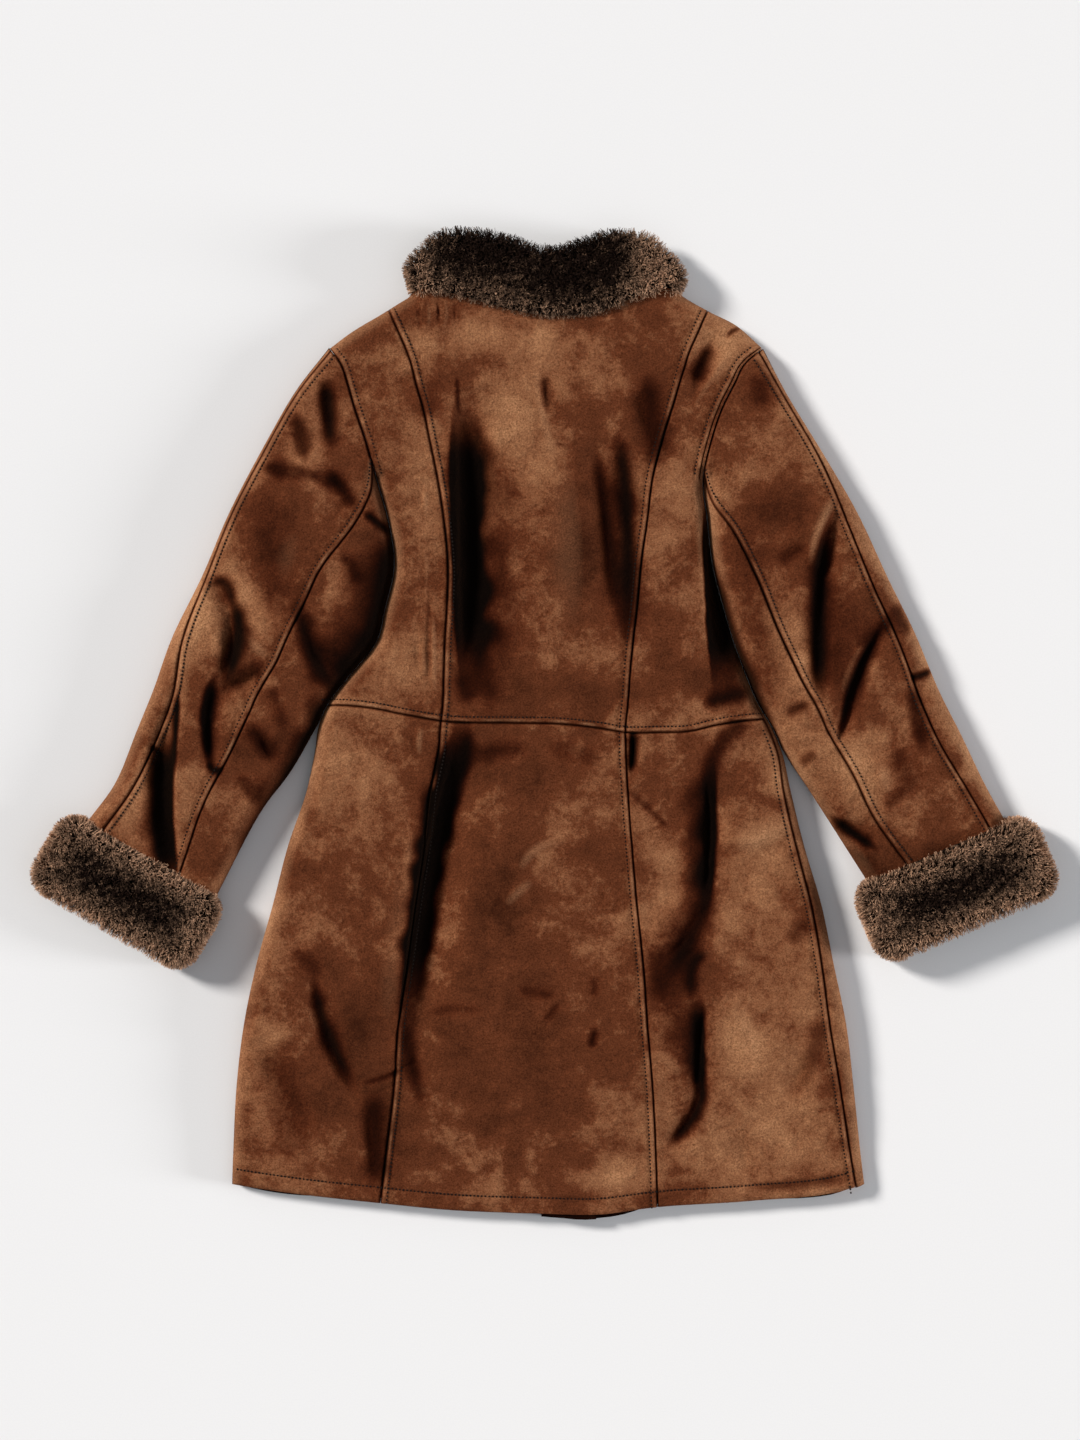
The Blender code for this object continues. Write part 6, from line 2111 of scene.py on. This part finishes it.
def stitch_tree() -> Tree:
    """Short threads along the edges of a mesh."""
    tree, ask = modifier_tree("stitches", Pitch="Float", Size="Vector", Seed="Int",
                              Material="Material")
    rows = add_node(tree, "GeometryNodeMeshToCurve", {"Mesh": ask["Geometry"]})
    spaced = add_node(tree, "GeometryNodeResampleCurve",
                      {"Curve": rows.outputs["Curve"], "Length": ask["Pitch"]}, mode="LENGTH")
    facing = face_along(tree, "X", add_node(tree, "GeometryNodeInputTangent").outputs[0])
    ball = add_node(tree, "GeometryNodeMeshIcoSphere", {"Radius": 0.5, "Subdivisions": 1})
    scale = compute_vector(tree, "SCALE", ask["Size"],
                           vary(tree, STITCH.smallest, STITCH.largest, ask["Seed"]))
    placed = place_copies(tree, spaced.outputs["Curve"], ball.outputs["Mesh"], facing, scale)
    end_tree(tree, realize(tree, placed), ask["Material"])
    return tree


def beside(path: Array, distance: float) -> Array:
    """A path moved sideways: to the left of its way if the distance is positive."""
    way = np.gradient(path, axis=0)
    way /= np.linalg.norm(way, axis=1)[:, None]
    return path + distance * np.stack((-way[:, 1], way[:, 0]), axis=-1)


class Topstitching:
    """Rows of stitches on the body and the sleeves."""

    @staticmethod
    def body_rows() -> list[Array]:
        """Rows of the body as arrays of points."""
        reach = SEAM.allowance
        side_left, centre, side_right, _, skirt, skirt_right = BACK_PANELS
        plans = [
            (beside(seam_path("left_seam", 4, 398, 3.0), -reach), centre),
            (beside(seam_path("right_seam", -3, 396, 3.0), reach), centre),
            (beside(seam_path("left_seam", -462, 1, 3.0), -reach), skirt),
            (beside(seam_path("right_seam", -467, -9, 3.0), reach), skirt),
            (beside(across_path(WAIST_LINE, -214, 212, 3.0), reach), centre),
            (beside(across_path(HEM_LINE, -299, 302, 3.0), HEM.stitch), skirt),
            (beside(seam_path("side_seam", -452, -4, 3.0), reach), skirt_right),
            (beside(seam_path("left", ARMHOLE_BOTTOM + 4, 358, 3.0), -reach), side_left),
            (beside(seam_path("side_seam", ARMHOLE_BOTTOM + 4, 358, 3.0), reach), side_right),
        ]
        rows = []
        for plan, panel in plans:
            x, y = plan[:, 0], plan[:, 1]
            outer = Back.height(x, y, Back.borders(panel))[0]
            rows.append(points(x, y, outer + STITCH.proud))
        return rows

    @staticmethod
    def sleeve_rows(sleeve: Sleeve) -> list[Array]:
        """Rows of one sleeve as arrays of points."""
        rows = []
        v = np.linspace(0.01, 0.992, 170)
        for name, way in (("outer_seam", 1.0), ("inner_seam", -1.0)):
            u = sleeve.read(name, v) + way * SEAM.allowance / sleeve.width(v)
            x, y = sleeve.plan(u, v)
            outer = sleeve.top(x, y, u, v, sleeve.back_borders())[0]
            rows.append(points(x, y, outer + STITCH.proud))
        return rows

    @staticmethod
    def build(name: str, rows: Sequence[Array], material: Material) -> Piece:
        """Sew the rows as one object."""
        verts = np.concatenate(rows)
        edges = []
        start = 0
        for row in rows:
            edges += [(start + i, start + i + 1) for i in range(len(row) - 1)]
            start += len(row)
        mesh = bpy.data.meshes.new(name + "_path")
        mesh.from_pydata((verts * MM + ORIGIN).tolist(), edges, [])
        guide = add_object(name + "_path", mesh)
        values = {"Pitch": STITCH.pitch * MM, "Seed": 4, "Material": material,
                  "Size": (STITCH.length * MM, STITCH.width * MM, STITCH.height * MM)}
        made = run_tree(guide, stitch_tree(), values, name, material)
        bpy.data.objects.remove(guide)
        return made


# ---- assembly -------------------------------------------------------------

class Cut(NamedTuple):
    """Flat size of a piece before it is sewn, in metres and square metres.

    The area is of the real cut, which curves inside its width and length.
    """

    piece: str
    width: float
    length: float
    area: float
    rests_on: tuple[str, ...]
    goes_with: tuple[str, ...] = ()


FRONTS = ("front_left_suede", "front_right_suede")
CUTS = rows_of(Cut,
    ("front_left_suede", 0.360, 0.900, 0.240, ("front_right_suede", "table")),
    ("front_right_suede", 0.380, 0.900, 0.238, ("table",)),
    ("back_side_bodice_left_suede", 0.130, 0.405, 0.0305, FRONTS),
    ("back_centre_bodice_suede", 0.310, 0.430, 0.0965, FRONTS, ("topstitching_body",)),
    ("back_side_bodice_right_suede", 0.140, 0.410, 0.0335, FRONTS),
    ("back_side_skirt_left_suede", 0.210, 0.485, 0.0725, FRONTS),
    ("back_centre_skirt_suede", 0.275, 0.485, 0.1160, FRONTS),
    ("back_side_skirt_right_suede", 0.230, 0.480, 0.0850, FRONTS),
    ("sleeve_under_left_suede", 0.190, 0.530, 0.0650, ("table",)),
    ("sleeve_front_left_suede", 0.160, 0.530, 0.0515, ("table",)),
    ("sleeve_back_left_suede", 0.150, 0.530, 0.0500,
        ("sleeve_under_left_suede", "sleeve_front_left_suede"), ("topstitching_sleeve_left",)),
    ("sleeve_under_right_suede", 0.165, 0.530, 0.0555, ("table",)),
    ("sleeve_front_right_suede", 0.160, 0.530, 0.0535, ("table",)),
    ("sleeve_back_right_suede", 0.160, 0.530, 0.0530,
        ("sleeve_under_right_suede", "sleeve_front_right_suede"), ("topstitching_sleeve_right",)),
    ("collar_hide", 0.500, 0.065, 0.0278, ("table",), ("collar_pile",)),
    ("cuff_left_hide", 0.345, 0.070, 0.0240, ("table",), ("cuff_left_pile",)),
    ("cuff_right_hide", 0.365, 0.070, 0.0254, ("table",), ("cuff_right_pile",)),
)


@dataclass
class Coat:
    """The whole coat."""

    suede: Material
    pile: Material
    hide: Material
    thread: Material
    made: dict[str, Piece] = field(default_factory=dict)

    def add(self, piece: Piece, slot: Slot, *nodes: str) -> Piece:
        """Let a piece ride on the part and stand for nodes."""
        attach(piece, "root")
        if nodes:
            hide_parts(*nodes)
        self.made[piece.name] = piece
        LOG.info("%s: %d faces", piece.name, len(piece.data.polygons))
        return piece

    def build_cloth(self) -> None:
        """All suede pieces."""
        shells = {panel.node: Back.shell(panel) for panel in BACK_PANELS}
        shells["front_left"] = Fronts.left()
        shells["front_right"] = Fronts.right()
        for sleeve in SLEEVES:
            shells.update(sleeve.shells())
        for node, shell in shells.items():
            self.add(shell.build(self.suede), Slot.SUEDE, node)

    def build_stitches(self) -> None:
        """All rows of topstitching."""
        rows = {"topstitching_body": Topstitching.body_rows()}
        for sleeve in SLEEVES:
            rows[f"topstitching_sleeve_{sleeve.label}"] = Topstitching.sleeve_rows(sleeve)
        for name, lines in rows.items():
            self.add(Topstitching.build(name, lines, self.thread), Slot.SUEDE)

    def build_fur(self) -> None:
        """The skins with their pile."""
        tree = pile_tree()
        shells = {
            "collar": FurSkins.collar("collar_hide"),
            "cuff_left": FurSkins.cuff(CUFF_LEFT, "cuff_left_hide"),
            "cuff_right": FurSkins.cuff(CUFF_RIGHT, "cuff_right_hide"),
        }
        for number, (node, shell) in enumerate(shells.items()):
            skin = shell.build(self.hide)
            self.add(skin, Slot.FUR, node)
            dense = sum(face.area * skin.data.attributes["dense"].data[face.vertices[0]].value
                        for face in skin.data.polygons)
            strands = PILE.strands * 1.0
            values = {"Density": strands / dense, "Length": PILE.length * MM,
                      "Curl": PILE.curl * MM, "Radius": PILE.radius * MM, "Lean": PILE.lean,
                      "Lock Scale": 1 / (PILE.lock * MM), "Wander": PILE.wander * MM,
                      "Seed": 11 + number, "Material": self.pile}
            pile = run_tree(skin, tree, values, node + "_pile", self.pile)
            pile.data.shade_smooth()
            self.add(pile, Slot.FUR)

    def declare(self) -> None:
        """Log the cut area of each piece beside half the surface of the piece that was made."""
        for cut in CUTS:
            piece = self.made[cut.piece]
            surface = 0.5 * sum(face.area for face in piece.data.polygons)
            LOG.info("%s: cut %.4f m2, made %.4f m2", cut.piece, cut.area, surface)


class Lamp(NamedTuple):
    """A large distant lamp.

    It stands in the direction toward, as seen from the coat.  Its power is in watts
    per square metre, and its softness is how wide it looks, in degrees.
    """

    name: str
    toward: tuple[float, float, float]
    power: float
    softness: float
    colour: str

    def hang(self) -> None:
        """Add the lamp to the scene."""
        light = bpy.data.lights.new(self.name, "SUN")
        light.angle = math.radians(self.softness)
        light.energy = self.power
        light.color = srgb(self.colour)[:3]
        turn = (-Vector(self.toward)).to_track_quat("-Z", "Y")
        add_object(self.name, light).rotation_euler = turn.to_euler()


LAMPS = rows_of(Lamp,
    ("key", (-0.80, 0.42, 0.52), 4.3, 12.0, "#FFFAF4"),
    ("edge", (1.0, -0.10, 0.20), 2.9, 14.0, "#FFFFFF"),
    ("fill", (0.7, -0.3, 1.0), 0.25, 60.0, "#F3F6FF"),
)


@dataclass(frozen=True)
class Studio:
    """Camera, lights, world and table."""

    lens: float = 100.0
    aim: tuple[float, float] = (-0.0044, 0.0044)
    height: float = 3.88
    film: float = 36.0              # width of the sensor, in millimetres
    farthest: float = 50.0
    table: float = 60.0             # half its width
    sky: str = "#F4F5F7"
    sky_strength: float = 0.30

    def build(self, table: Material) -> None:
        """Set the stage."""
        scene = bpy.context.scene
        lens = bpy.data.cameras.new("camera")
        lens.lens = self.lens
        lens.sensor_width = self.film
        lens.clip_end = self.farthest
        scene.camera = add_object("camera", lens)
        scene.camera.location = (*self.aim, self.height)
        for lamp in LAMPS:
            lamp.hang()
        world = bpy.data.worlds.new("studio")
        world.use_nodes = True
        shade = world.node_tree.nodes["Background"]
        shade.inputs["Color"].default_value = srgb(self.sky)
        shade.inputs["Strength"].default_value = self.sky_strength
        scene.world = world
        scene.view_settings.view_transform = "Standard"
        mesh = bpy.data.meshes.new("table")
        signs = ((-1, -1), (1, -1), (1, 1), (-1, 1))
        square = [(x * self.table, y * self.table, 0) for x, y in signs]
        mesh.from_pydata(square, [], [(0, 1, 2, 3)])
        mesh.materials.append(table)
        floor = add_object("table", mesh)


def main() -> None:
    """Build the coat and its stage, and write how large it is."""
    logging.basicConfig(level=logging.INFO, format="%(message)s")
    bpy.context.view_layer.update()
    coat = Coat(Suede().material(), Pile().material(), HIDE.material(), THREAD.material())
    coat.build_cloth()
    coat.build_stitches()
    coat.build_fur()
    Studio().build(TABLE.material())
    coat.declare()


if __name__ == "__main__":
    main()
